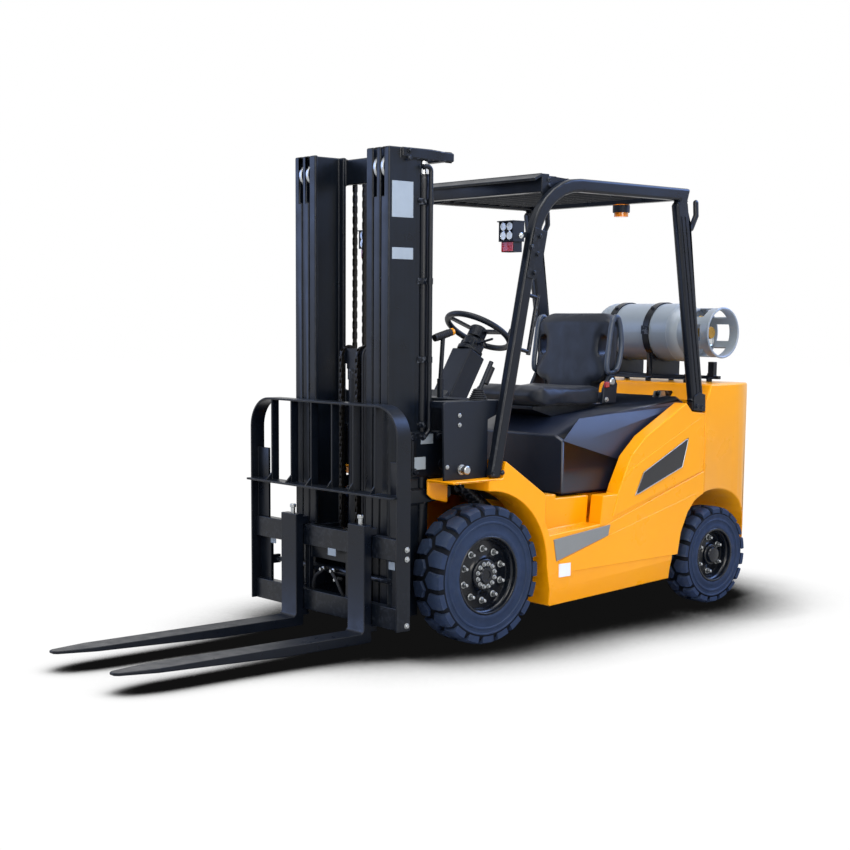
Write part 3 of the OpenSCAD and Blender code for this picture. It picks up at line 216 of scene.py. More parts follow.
# extruded hose rubber: smooth, dull black
hoseRubber = makeFinish("hoseRubber", {
    "Specular IOR Level": 0.25, "colour": "#15161A", "shade": "#202226", "patch": 60, "rough": (0.5, 0.65),
    "grain": 2, "relief": 0.15, "depth": 0.3})
# sand-cast iron under thin black paint: pitted and dull
castIron = makeFinish("castIron", {
    "Specular IOR Level": 0.3, "colour": "#222528", "shade": "#313539", "patch": 120, "rough": (0.55, 0.75),
    "grain": 5, "relief": 0.4, "depth": 0.8, "dust": "#5B5347", "dustAmount": 0.2})
# hard chrome on a ground rod: mirror with very fine turning lines
chromePlate = makeFinish("chromePlate", {
    "colour": "#D5D8DA", "shade": "#C6CACD", "patch": 50, "rough": (0.08, 0.18), "grain": 1.5, "relief": 0.03,
    "depth": 0.1, "Metallic": 1.0})
# zinc-plated fasteners: pale grey, cloudy
zincPlate = makeFinish("zincPlate", {
    "colour": "#B9BCBE", "shade": "#8F9396", "patch": 12, "rough": (0.25, 0.42), "grain": 2, "relief": 0.1,
    "depth": 0.2, "Metallic": 1.0})
# oiled leaf chain: dark brown-black steel with a wet glint
chainSteel = makeFinish("chainSteel", {
    "colour": "#3A3733", "shade": "#24221F", "patch": 25, "rough": (0.28, 0.45), "grain": 2, "relief": 0.2,
    "depth": 0.2, "Metallic": 0.8})
# bottle: powder coat on rolled steel, pale grey, scuffed
bottlePaint = makeFinish("bottlePaint", {
    "colour": "#8C959B", "shade": "#7D868D", "patch": 180, "rough": (0.3, 0.42), "grain": 3, "relief": 0.1,
    "depth": 0.3, "dust": "#BDBDB8", "dustAmount": 0.2, "wear": "#8E9192", "wearFrom": 0.56, "wearSize": 15})
# forged brass: dull yellow metal, tarnished in hollows
forgedBrass = makeFinish("forgedBrass", {
    "colour": "#C19A4E", "shade": "#93713A", "patch": 25, "rough": (0.25, 0.42), "grain": 2, "relief": 0.15,
    "depth": 0.2, "Metallic": 1.0})
# moulded acrylic lenses: clear deep colour with a hard gloss, ribs 3 mm apart
amberAcrylic = makeFinish("amberAcrylic", {
    "colour": "#F08A12", "shade": "#E0730A", "patch": 40, "rough": (0.08, 0.16), "grainKind": "lines",
    "lines": (330, 330, 0), "relief": 0.3, "depth": 0.6, "Coat Weight": 0.5})
redAcrylic = makeFinish("redAcrylic", {
    "colour": "#A81512", "shade": "#8C0E0C", "patch": 40, "rough": (0.1, 0.18), "grainKind": "cells", "grain": 6,
    "relief": 0.3, "depth": 0.6, "Coat Weight": 0.5})
# clear polycarbonate over bright reflectors: pale, glinting
clearLens = makeFinish("clearLens", {
    "colour": "#C9CFD4", "shade": "#AEB6BC", "patch": 20, "rough": (0.06, 0.14), "grainKind": "cells", "grain": 7,
    "relief": 0.4, "depth": 0.8, "Coat Weight": 0.8})
# blank plates and film: white enamelled aluminium, even satin
whiteFilm = makeFinish("whiteFilm", {
    "colour": "#E6E7E5", "shade": "#DADBD9", "patch": 60, "rough": (0.3, 0.4), "grain": 2, "relief": 0.05,
    "depth": 0.1})
plateFilm = makeFinish("plateFilm", {
    "colour": "#98A2A9", "shade": "#8A949B", "patch": 60, "rough": (0.34, 0.44), "grain": 2, "relief": 0.05,
    "depth": 0.1})
greyFilm = makeFinish("greyFilm", {
    "colour": "#74756F", "shade": "#7E7F79", "patch": 90, "rough": (0.35, 0.45), "grain": 2, "relief": 0.05,
    "depth": 0.1})
# dark inset film under clear lacquer, also the painted shade of the tilt slots: deep black with a soft gloss
blackFilm = makeFinish("blackFilm", {
    "colour": "#08090C", "shade": "#0F1116", "patch": 90, "rough": (0.3, 0.4), "Specular IOR Level": 0.3,
    "grain": 3, "relief": 0.04, "depth": 0.1, "Coat Weight": 0.4})
# ribbed floor rubber: matt, ribs 12 mm apart along the truck
floorRubber = makeFinish("floorRubber", {
    "Specular IOR Level": 0.25, "colour": "#222427", "shade": "#2D2F32", "patch": 120, "rough": (0.6, 0.75),
    "grainKind": "lines", "lines": (0, 84, 0), "relief": 0.5, "depth": 1.5, "dust": "#6A665E", "dustAmount": 0.3})
print("finishes made:", len(bpy.data.materials))


def bodyOf(name):
    return nodes[name]["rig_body"]


def addPiece(name, form, body, finish, smooth=35, stands=()):
    # form is drawn in mm from the front axle
    bmesh.ops.transform(form, matrix=toScene, verts=form.verts)
    bmesh.ops.recalc_face_normals(form, faces=form.faces)
    mesh = bpy.data.meshes.new(name)
    form.to_mesh(mesh)
    form.free()
    mesh.shade_smooth()
    mesh.set_sharp_from_angle(angle=math.radians(smooth))
    mesh.materials.append(finish)
    piece = bpy.data.objects.new(name, mesh)
    scene.collection.objects.link(piece)
    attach(piece, body)
    if stands:
        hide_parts(*stands)
    return piece


def addRing(form, points):
    return [form.verts.new(p) for p in points]


def bridge(form, first, second, closed=True):
    count = len(first)
    for i in range(count if closed else count - 1):
        j = (i + 1) % count
        form.faces.new((first[i], first[j], second[j], second[i]))


def addLathe(form, profile, place, axis=(0, 1, 0), count=48):
    # profile: (radius, distance along the axis) from one end to the other
    turn = Matrix.Translation(place) @ Vector(axis).to_track_quat("Z", "Y").to_matrix().to_4x4()
    last = None
    for radius, along in profile:
        if radius < 1e-6:
            ring = [form.verts.new(turn @ Vector((0, 0, along)))]
        else:
            ring = addRing(form, [turn @ Vector((radius * math.cos(2 * math.pi * i / count),
                                                 radius * math.sin(2 * math.pi * i / count), along))
                                  for i in range(count)])
        if last and len(last) == len(ring):
            bridge(form, last, ring)
        elif last:
            tip, rim = (last, ring) if len(last) == 1 else (ring, last)
            for i in range(count):
                form.faces.new((tip[0], rim[i], rim[(i + 1) % count]))
        last = ring


def addTube(form, path, radius, sides=12, caps=True):
    # round bar swept along a path, without twist
    points = [Vector(p) for p in path]
    runs = [(points[min(i + 1, len(points) - 1)] - points[max(i - 1, 0)]).normalized() for i in range(len(points))]
    side = runs[0].orthogonal().normalized()
    last = None
    for i, (point, run) in enumerate(zip(points, runs)):
        if i:
            side = (runs[i - 1].rotation_difference(run) @ side).normalized()
        other = run.cross(side)
        ring = addRing(form, [point + radius * (math.cos(a) * side + math.sin(a) * other)
                              for a in (2 * math.pi * k / sides for k in range(sides))])
        if last:
            bridge(form, last, ring)
        elif caps:
            form.faces.new(ring)
        last = ring
    if caps:
        form.faces.new(last)


def curvePath(points, steps=8):
    # smooth path through the points
    knots = [Vector(p) for p in points]
    knots = [2 * knots[0] - knots[1]] + knots + [2 * knots[-1] - knots[-2]]
    path = []
    for i in range(1, len(knots) - 2):
        a, b, c, d = knots[i - 1:i + 3]
        for k in range(steps):
            t = k / steps
            path.append(0.5 * (2 * b + (c - a) * t + (2 * a - 5 * b + 4 * c - d) * t ** 2
                               + (3 * b - a - 3 * c + d) * t ** 3))
    return path + [knots[-2]]


def bendPath(points, radius, steps=6):
    # straight runs with rounded corners
    knots = [Vector(p) for p in points]
    path = [knots[0]]
    for a, b, c in zip(knots, knots[1:], knots[2:]):
        inward, outward = (a - b).normalized(), (c - b).normalized()
        reach = min(radius / math.tan(max(inward.angle(outward) / 2, 0.05)),
                    (a - b).length * 0.49, (c - b).length * 0.49)
        start, end = b + inward * reach, b + outward * reach
        path += [start.lerp(b, t).lerp(b.lerp(end, t), t) for t in (k / steps for k in range(steps + 1))]
    return path + [knots[-1]]


def addSlab(form, outline, y0, y1):
    # outline in x and z, from y0 to y1
    near = addRing(form, [(x, y0, z) for x, z in outline])
    far = addRing(form, [(x, y1, z) for x, z in outline])
    bridge(form, near, far)
    form.faces.new(near)
    form.faces.new(far)


def addBox(form, low, high):
    addSlab(form, [(low[0], low[2]), (high[0], low[2]), (high[0], high[2]), (low[0], high[2])], low[1], high[1])


def addBolt(form, place, axis, width=19, height=8, washer=True):
    # hexagon head with a broken top edge, on its washer
    rise = 2.5 if washer else 0
    if washer:
        addLathe(form, [(0, 0), (width * 0.78, 0), (width * 0.78, 2), (width * 0.7, rise), (0, rise)], place, axis, 20)
    corner = width / math.sqrt(3)
    addLathe(form, [(0, rise), (corner, rise), (corner, rise + height * 0.8), (corner * 0.88, rise + height),
                    (0, rise + height)], place, axis, 6)


def settle(piece):
    # the modifiers' result becomes the mesh
    ready = piece.evaluated_get(bpy.context.evaluated_depsgraph_get())
    mesh = bpy.data.meshes.new_from_object(ready)
    piece.modifiers.clear()
    piece.data = mesh


def roundEdges(piece, width, segments=3, angle=40):
    soft = piece.modifiers.new("edge", "BEVEL")
    soft.width = width / 1000
    soft.segments = segments
    soft.limit_method = "ANGLE"
    soft.angle_limit = math.radians(angle)
    soft.use_clamp_overlap = False
    soft.harden_normals = True
    settle(piece)


railNotches = {
    # inner edge of each notched flange, mm from the middle
    "outer_mast": 298,
    "mid_mast": 245,
}
notch = {"low": 2078, "high": 2283, "wide": 19, "front": 446, "back": 415, "roller": 62, "rollerZ": 2208}


def cutNotches(piece, inner):
    form = bmesh.new()
    for side in (1, -1):
        y0, y1 = sorted((side * (inner - 2), side * (inner + notch["wide"])))
        addBox(form, (notch["back"], y0, notch["low"]), (notch["front"] + 4, y1, notch["high"]))
    bmesh.ops.transform(form, matrix=toScene, verts=form.verts)
    bmesh.ops.recalc_face_normals(form, faces=form.faces)
    mesh = bpy.data.meshes.new("notches")
    form.to_mesh(mesh)
    form.free()
    tool = bpy.data.objects.new("notches", mesh)
    scene.collection.objects.link(tool)
    cut = piece.modifiers.new("notches", "BOOLEAN")
    cut.object = tool
    cut.solver = "EXACT"
    settle(piece)
    bpy.data.objects.remove(tool)


def softNode(name, width, finish):
    # a copy of the solid with broken edges
    form = bmesh.new()
    form.from_mesh(nodes[name].data)
    bmesh.ops.remove_doubles(form, verts=form.verts, dist=weldGap)
    bmesh.ops.dissolve_limit(form, angle_limit=math.radians(0.3), verts=form.verts, edges=form.edges)
    bmesh.ops.transform(form, matrix=toScene.inverted(), verts=form.verts)
    piece = addPiece(name + "_soft", form, bodyOf(name), finish, stands=(name,))
    if name in railNotches:
        cutNotches(piece, railNotches[name])
    roundEdges(piece, width, 2, 50)


softEdges = {
    "frame": (2.5, yellowEnamel),
    "side_bodies": (7, yellowEnamel),
    "side_panels": (6, yellowEnamel),
    "floor_plate": (2, floorRubber),
    "cowl": (3, mouldedAbs),
    "guard_roof": (2.5, blackEnamel),
    "guard_sides": (14, blackEnamel),
    "lpg_bracket": (2, blackEnamel),
    "seat_base": (3, blackEnamel),
    "outer_mast": (7, railSteel),
    "mid_mast": (7, railSteel),
    "inner_mast": (7, railSteel),
    "carriage": (2.5, blackEnamel),
    "fork_carriage": (3, blackEnamel),
    "backrest": (2, blackEnamel),
    "fork_left": (4, forkSteel),
    "fork_right": (4, forkSteel),
    "engine": (10, castIron),
    "front_axle": (3, castIron),
    "rear_axle": (4, castIron),
    "steering_column": (7, mouldedAbs),
    "hood": (12, hoodAbs),
    "counterweight": (10, yellowEnamel),
}
for nodeName, (edgeWidth, edgeFinish) in softEdges.items():
    softNode(nodeName, edgeWidth, edgeFinish)
print("solids with broken edges:", len(softEdges))

plainFinish = {
    "control_levers": mouldedAbs, "grab_handle": blackEnamel, "lpg_bottle": bottlePaint, "lpg_valve": forgedBrass,
    "work_lamps": mouldedAbs, "lamp_lenses": clearLens, "beacon": amberAcrylic, "rear_lamps": redAcrylic,
    "steering_wheel": mouldedAbs, "rear_grille": mouldedAbs, "hood_hinges": blackEnamel, "hood_pins": zincPlate,
    "lift_barrels": blackEnamel, "lift_rods": chromePlate, "free_lift_barrel": blackEnamel,
    "free_lift_head": blackEnamel, "mast_hoses": hoseRubber, "shift_rod": blackEnamel,
    "tilt_barrel_left": blackEnamel, "tilt_barrel_right": blackEnamel, "tilt_rod_left": chromePlate,
    "tilt_rod_right": chromePlate, "rear_knuckle_left": castIron, "rear_knuckle_right": castIron,
}
for nodeName, nodeFinish in plainFinish.items():
    mesh = nodes[nodeName].data
    mesh.materials.clear()
    mesh.materials.append(nodeFinish)
print("finishes on plain solids:", len(plainFinish))

tyreForms = {
    "front": {"axle": 0, "middle": 485, "radius": 331, "width": 180, "seat": 188.3, "blocks": 20, "depth": 15,
              "shoulder": 26, "wall": 46},
    "rear": {"axle": -1700, "middle": 491, "radius": 264, "width": 158, "seat": 146.3, "blocks": 18, "depth": 14,
             "shoulder": 24, "wall": 38},
}


def addTyre(name, setup, centre, side, body):
    form = bmesh.new()
    radius, half, depth = setup["radius"], setup["width"] / 2, setup["depth"]
    base = radius - depth
    low = setup["seat"]
    wall = radius - setup["wall"]
    outline = [(low, -half + 4), (low + 8, -half + 1), (low + 20, -half + 3), (low + 26, -half + 6),
               (wall - 40, -half + 5), (wall - 36, -half + 0.5), (wall - 30, -half + 0.5), (wall - 26, -half + 5),
               (wall - 12, -half + 4), (wall - 8, -half + 1), (wall - 3, -half + 1), (base - 8, -half + 14),
               (base, -half + 30)]
    outline = outline + [(r, -y) for r, y in reversed(outline)]
    addLathe(form, outline + outline[:1], centre, (0, 1, 0), 72)
    # faces deep between the tread blocks take the near-black groove finish, a painted shade
    for face in form.faces:
        if min(math.hypot(v.co.x - centre[0], v.co.z - centre[2]) for v in face.verts) > wall - 4:
            face.material_index = 1
    pitch = 2 * math.pi / setup["blocks"]

    def crown(y):
        # the tread falls away at the shoulders
        off = max(0.0, abs(y) - half + setup["shoulder"]) / setup["shoulder"]
        return radius - 10 * off ** 2 - 2.5 * (y / half) ** 2

    def spot(turn, y, r):
        return Vector(centre) + Vector((r * math.cos(turn), y, r * math.sin(turn)))

    for row in (1, -1):
        for k in range(setup["blocks"]):
            middle = 1.5 * math.pi + (k + (0 if row == side else 0.5)) * pitch
            levels = []
            for grow, drop in ((0, 0), (0.012, 3), (0.02, depth + 2)):
                grid = []
                for u in range(7):
                    s = u / 6
                    inner = (26 - 40 * s if s < 0.5 else 6 + 44 * (s - 0.5)) * half / 90
                    line = []
                    for v in range(5):
                        t = v / 4
                        y = (inner - grow * 90) * (1 - t) + (half - 0.5) * t
                        skew = (1 - t) * 0.06 * pitch
                        spread = pitch * (0.365 - 0.03 * t) + grow * 0.4
                        turn = middle + skew + (2 * s - 1) * spread
                        line.append(spot(turn, row * y, crown(y) - drop))
                    grid.append(line)
                levels.append(grid)
            top = [[form.verts.new(p) for p in line] for line in levels[0]]
            for u in range(6):
                for v in range(4):
                    form.faces.new((top[u][v], top[u + 1][v], top[u + 1][v + 1], top[u][v + 1]))
            loop = [(u, 0) for u in range(7)] + [(6, v) for v in range(1, 5)]
            loop += [(u, 4) for u in range(5, -1, -1)] + [(0, v) for v in range(3, 0, -1)]
            rings = [[top[u][v] for u, v in loop]]
            for grid in levels[1:]:
                rings.append([form.verts.new(grid[u][v]) for u, v in loop])
            # the outer end of the block runs down the side wall
            for (u, v), vert in zip(loop, rings[-1]):
                if v == 4:
                    turn = math.atan2(vert.co.z - centre[2], vert.co.x - centre[0])
                    vert.co = spot(turn, row * (half - 1.5), wall + 4)
            for first, second in zip(rings, rings[1:]):
                bridge(form, first, second)
    piece = addPiece(name + "_tread", form, body, tyreRubber, smooth=32, stands=(name,))
    piece.data.materials.append(grooveRubberPaintedShade)


rimForms = {
    "front": {"face": 575, "radius": 188, "width": 180, "hub": 78, "disc": 46, "nutRing": 124, "nuts": 10,
              "nutWidth": 21, "hubRing": 55, "hubBolts": 12},
    "rear": {"face": 570, "radius": 146, "width": 108, "hub": 58, "disc": 46, "nutRing": 92, "nuts": 6,
             "nutWidth": 22, "hubRing": 0, "hubBolts": 0},
}


def addRim(name, setup, centre, side, body):
    # centre: the wheel's middle in the plane of the tyre's outer face; depths run inwards
    radius, hub, disc = setup["radius"], setup["hub"], setup["disc"]
    inwards = (0, -side, 0)
    form = bmesh.new()
    face = [(radius, 22), (radius, 4), (radius - 3, 1.5), (radius - 8, 1.5), (radius - 11, 4), (radius - 12, 10),
            (radius - 13, 22), (radius - 20, 27), (radius - 22, 34), (radius - 22, 52), (radius - 27, disc + 12),
            (hub + 34, disc + 9), (hub + 20, disc + 4), (hub + 6, disc + 1), (hub, disc - 6), (hub, 30), (hub - 3, 26),
            (hub - 8, 24)]
    if setup["hubBolts"]:
        face += [(hub * 0.52, 24), (hub * 0.5, 20), (hub * 0.46, 16), (hub * 0.3, 15), (hub * 0.28, 19), (0, 19)]
    else:
        face += [(hub * 0.78, 24), (hub * 0.76, 14), (hub * 0.68, 8), (hub * 0.4, 5), (0, 4.5)]
    addLathe(form, face, centre, inwards, 72)
    back = [(radius, 22), (radius, setup["width"] - 2), (radius - 12, setup["width"] - 2), (radius - 12, disc + 34),
            (hub + 22, disc + 24)]
    addLathe(form, back, centre, inwards, 72)
    addPiece(name + "_dish", form, body, rimEnamel, smooth=40, stands=(name,))
    form = bmesh.new()
    for count, ring, width, depth in ((setup["nuts"], setup["nutRing"], setup["nutWidth"], disc + 7),
                                      (setup["hubBolts"], setup["hubRing"], 14, 24)):
        for i in range(count):
            turn = 2 * math.pi * (i + 0.5) / count
            place = Vector(centre) + Vector((ring * math.cos(turn), -side * depth, ring * math.sin(turn)))
            addBolt(form, place, (0, side, 0), width, width * 0.62)
            if width > 20:
                addLathe(form, [(8, 10), (8, 26), (6.5, 28), (0, 28)], place, (0, side, 0), 16)
    addPiece(name + "_nuts", form, body, zincPlate, smooth=30)


for sideName, side in (("left", 1), ("right", -1)):
    for end, tyre in tyreForms.items():
        middle = (tyre["axle"], side * tyre["middle"], tyre["radius"])
        addTyre(end + "_tyre_" + sideName, tyre, middle, side, end + "_wheel_" + sideName)
    for end, rim in rimForms.items():
        outside = (tyreForms[end]["axle"], side * rim["face"], tyreForms[end]["radius"])
        addRim(end + "_rim_" + sideName, rim, outside, side, end + "_wheel_" + sideName)
print("tyres and rims made")


def addPrism(form, corners, shift):
    near = addRing(form, corners)
    far = addRing(form, [Vector(c) + Vector(shift) for c in corners])
    bridge(form, near, far)
    form.faces.new(near)
    form.faces.new(far)


def addFacet(form, outline, side, foot, lean):
    # a panel of the side pressed out most at its lower edge, the line from its first corner to its last
    (x0, z0), (x1, z1) = outline[0], outline[-1]
    slope = (z1 - z0) / (x1 - x0)
    face = [(x, side * (foot - lean * (z - z0 - slope * (x - x0))), z) for x, z in outline]
    rim = [(x, side * 562, z) for x, z in outline]
    near, far = addRing(form, rim), addRing(form, face)
    bridge(form, near, far)
    form.faces.new(far)


sideForms = {
    # corners in x and z, from the lower front corner round to the lower rear one
    "panelField": [(-862, 540), (-942, 737), (-994, 773), (-1566, 1025), (-1549, 727)],
    "bodyField": [(-540, 292), (-470, 350), (-827, 447), (-1555, 622), (-1455, 517), (-1402, 415), (-1378, 300)],
    "accent": [(-457, 354), (-436, 462), (-842, 503), (-827, 449)],
    "inset": [(-1029, 636), (-1093, 753), (-1446, 914), (-1400, 763)],
    "sidePlate": [(-476, 272), (-476, 338), (-556, 338), (-556, 272)],
}


def addSideTrim(sideName, side):
    body = bodyOf("side_bodies")
    form = bmesh.new()
    addFacet(form, sideForms["panelField"], side, 569, 0.014)
    roundEdges(addPiece("panel_field_" + sideName, form, body, yellowEnamel), 3)
    form = bmesh.new()
    addFacet(form, sideForms["bodyField"], side, 573, 0.014)
    roundEdges(addPiece("body_field_" + sideName, form, body, yellowEnamel), 3)
    for name, finish, deep, proud in (("accent", greyFilm, 567, 573.4), ("inset", blackFilm, 562, 570.4),
                                      ("sidePlate", whiteFilm, 567, 574)):
        form = bmesh.new()
        addPrism(form, [(x, side * deep, z) for x, z in sideForms[name]], (0, side * (proud - deep), 0))
        roundEdges(addPiece(name + "_" + sideName, form, body, finish), 1.2, 2)
    form = bmesh.new()
    edge = [(x, side * 570.6, z) for x, z in sideForms["inset"]]
    addTube(form, bendPath(edge + edge[:2], 12), 2.2, 8)
    addPiece("inset_rim_" + sideName, form, body, zincPlate)


chainForm = {"pitch": 25.4, "plate": 9.2, "thick": 2.6, "pin": 4.2}


def chainPath(x, z, radius, rearLow, frontLow):
    # up behind the sheave, over it and down in front of it
    reach = radius + 6
    path = [Vector((x - reach, rearLow)), Vector((x - reach, z))]
    path += [Vector((x + reach * math.cos(a), z + reach * math.sin(a)))
             for a in (math.pi * (1 - k / 12) for k in range(1, 12))]
    return path + [Vector((x + reach, z)), Vector((x + reach, frontLow))]


def stepAlong(path, pitch):
    points, left = [path[0].copy()], pitch
    for a, b in zip(path, path[1:]):
        run, place = (b - a).length, 0.0
        while run - place >= left:
            place += left
            points.append(a.lerp(b, place / run))
            left = pitch
        left -= run - place
    return points


def addChain(form, path, y):
    # leaf chain: plates in turn outside and inside, pins through them
    pins = stepAlong(path, chainForm["pitch"])
    r, t = chainForm["plate"], chainForm["thick"]
    for i, (a, b) in enumerate(zip(pins, pins[1:])):
        turn = math.atan2(b.y - a.y, b.x - a.x)
        arc = [turn + math.pi / 2 + math.pi * k / 5 for k in range(6)]
        outline = [(a.x + r * math.cos(c), a.y + r * math.sin(c)) for c in arc]
        outline += [(b.x - r * math.cos(c), b.y - r * math.sin(c)) for c in arc]
        for off in ((-9, 6.4) if i % 2 else (-5.6, -1.3, 3)):
            addSlab(form, outline, y + off, y + off + t)
    for p in pins:
        addLathe(form, [(0, -10.5), (chainForm["pin"], -10.5), (chainForm["pin"], 10.5), (0, 10.5)],
                 (p.x, y, p.y), (0, 1, 0), 8)


def addChains():
    for name, x, z, y, radius, rearLow, frontLow in (("main_chains", 142, 2200, 226, 24, 420, 330),
                                                     ("free_chains", 340, 1350, 60, 38, 200, 515)):
        form = bmesh.new()
        for side in (1, -1):
            addChain(form, chainPath(x, z, radius, rearLow, frontLow), side * y)
        addPiece(name + "_links", form, bodyOf(name), chainSteel, stands=(name,))


def addMastTrim():
    # bright rollers in the notches at the rail tops
    for name, inner in railNotches.items():
        form = bmesh.new()
        radius, wide = notch["roller"], notch["wide"] - 3
        for side in (1, -1):
            addLathe(form, [(0, 0), (radius - 4, 0), (radius, 3), (radius, wide - 3), (radius - 4, wide), (0, wide)],
                     (notch["front"] - radius, side * (inner + 1), notch["rollerZ"]), (0, side, 0), 48)
        addPiece(name + "_rollers", form, bodyOf(name), zincPlate)
    # oil pipe down the back of the left outer rail, with its clips
    form = bmesh.new()
    pipe = bendPath([(252, 366, 2216), (205, 370, 2216), (205, 370, 1010), (232, 370, 985)], 40)
    addTube(form, pipe, 11, 14)
    addPiece("mast_pipe", form, bodyOf("outer_mast"), blackEnamel)
    form = bmesh.new()
    for z in (2060, 1700, 1340, 1040):
        addBox(form, (196, 354, z - 14), (268, 357, z + 14))
        addLathe(form, [(13.5, -14), (13.5, 14)], (205, 370, z), (0, 0, 1), 20)
        addBolt(form, (258, 357, z), (0, 1, 0), 13, 6)
    addPiece("mast_pipe_clips", form, bodyOf("outer_mast"), blackEnamel)
    form = bmesh.new()
    for x0, x1, z0, z1 in ((298, 424, 1983, 2144), (297, 422, 1796, 1848)):
        addBox(form, (x0, 353.6, z0), (x1, 355.2, z1))
    addBox(form, (222, 365.6, 832), (290, 367.2, 890))
    addBox(form, (176, 365.6, 950), (252, 367.2, 996))
    roundEdges(addPiece("mast_plates", form, bodyOf("outer_mast"), plateFilm), 0.6, 2)
    # a flat black sheet on each side of the outer mast: painted shade standing for the dark inside of the tilt slot
    form = bmesh.new()
    slot = [(346 + 7 * math.cos(a), 912 + (38 if math.sin(a) > 0 else -38) + 7 * math.sin(a))
            for a in (math.pi * k / 8 for k in range(16))]
    for side in (1, -1):
        addSlab(form, [(x - 60, z) for x, z in slot], side * 366.2 - 0.5, side * 366.2 + 0.5)
    addPiece("tilt_slot_painted_shade", form, bodyOf("outer_mast"), blackFilm)
    form = bmesh.new()
    for side in (1, -1):
        for x, z in ((140, 985), (240, 985), (290, 820), (300, 985)):
            addBolt(form, (x, side * 366, z), (0, side, 0), 24, 13)
        for z in (2252, 2284):
            addBolt(form, (330, side * 366, z - 4), (0, side, 0), 16, 8)
        addLathe(form, [(0, 0), (26, 0), (26, 5), (20, 8), (0, 8)], (118, side * 366, 850), (0, side, 0), 24)
    addPiece("mast_bolts", form, bodyOf("outer_mast"), blackEnamel, smooth=30)


def addForkTrim():
    body = bodyOf("fork_carriage")
    form = bmesh.new()
    for y in (306, -214):
        addLathe(form, [(0, 0), (11, 0), (11, 26), (15, 28), (15, 40), (12, 44), (0, 44)],
                 (562, y, 595), (0, 0, 1), 20)
    for side in (1, -1):
        for x, z in ((506, 501), (506, 458), (506, 154)):
            addBolt(form, (x, side * 568, z), (0, side, 0), 17, 7)
    # side-shift hose fittings
    for y, z in ((-40, 338), (40, 338), (70, 300)):
        addLathe(form, [(0, 0), (9, 0), (9, 14), (13, 14), (13, 30), (8, 32), (8, 46), (0, 46)],
                 (486, y, z), (1, 0, 0), 6)
    addPiece("fork_bolts", form, body, zincPlate, smooth=30)
    form = bmesh.new()
    for y, z, w, h in ((63, 434, 60, 34), (-448, 433, 44, 36), (470, 417, 44, 36)):
        x0, x1 = (538.6, 540.4) if abs(y) < 100 else (510.6, 512.4)
        addBox(form, (x0, y - w / 2, z - h / 2), (x1, y + w / 2, z + h / 2))
    addPiece("fork_plates", form, body, plateFilm)
    form = bmesh.new()
    for y0, y1 in ((-120, -40), (120, 40)):
        route = [(500, y0, 200), (520, y0 * 0.9, 250), (526, (y0 + y1) / 2, 300), (520, y1, 330), (506, y1, 338)]
        addTube(form, curvePath(route), 8, 12)
    addPiece("shift_hoses", form, body, hoseRubber)


def addCabTrim():
    body = bodyOf("cowl")
    form = bmesh.new()
    for side in (1, -1):
        for x, z in ((132, 1086), (131, 1042), (206, 850)):
            addBolt(form, (x, side * 500, z), (0, side, 0), 13, 5)
    addLathe(form, [(0, 0), (24, 0), (24, 6), (15, 8), (15, 22), (20, 24), (20, 44), (15, 48), (0, 48)],
             (120, 500, 834), (0, 1, 0), 24)
    addPiece("cowl_bolts", form, body, zincPlate, smooth=30)
    # bellows and grips of the levers
    form = bmesh.new()
    for x, y, wide in ((-30, 450, 46), (-60, -470, 36), (-60, -398, 36), (-60, -326, 36)):
        outline = [(wide, 0)]
        for k in range(6):
            r = wide * (1 - 0.09 * k)
            outline += [(r, 4 + 9 * k), (r - 7, 8 + 9 * k)]
        addLathe(form, outline + [(0, 58)], (x, y, 1150), (0, 0, 1), 28)
    addPiece("lever_bellows", form, body, hoseRubber, smooth=50)
    form = bmesh.new()
    addTube(form, [Vector((-74, 450, 1227)).lerp(Vector((-117, 450, 1302)), t) for t in (0, 0.5, 1)], 17, 16)
    gripStart, gripEnd = Vector((-20, 150, 1436)), Vector((-128, 150, 1464.8))
    addTube(form, [gripStart.lerp(gripEnd, t) for t in (0, 0.5, 1)], 18, 18)
    for k in range(7):
        t = 0.15 + 0.11 * k
        addLathe(form, [(18, -3), (19.6, -1), (19.6, 1), (18, 3)], gripStart.lerp(gripEnd, t), (-108, 0, 28.8), 18)
    addPiece("lever_grips", form, body, hoseRubber)
    form = bmesh.new()
    addLathe(form, [(0, 0), (18.5, 0), (18.5, 12), (15, 17), (0, 18)], (-126, 150, 1464.2), (-108, 0, 28.8), 20)
    addPiece("lever_cap", form, body, yellowEnamel)
    # rings round the column under the wheel, and the push in its boss
    column = bodyOf("steering_column")
    form = bmesh.new()
    lean = math.radians(31)
    axis = Vector((-math.sin(lean), 0, math.cos(lean)))
    top = Vector((-452, 0, 1468))
    addLathe(form, [(44, 0), (50, 4), (50, 40), (44, 46), (30, 48)], top - axis * 96, axis, 32)
    addLathe(form, [(62, 0), (66, 4), (66, 20), (56, 26), (44, 28)], top - axis * 128, axis, 32)
    addPiece("column_ring", form, column, mouldedAbs)
    form = bmesh.new()
    addLathe(form, [(40, 0), (40, 6), (34, 10), (0, 12)], top + axis * 10, axis, 32)
    addPiece("horn_push", form, bodyOf("steering_wheel"), blackEnamel)


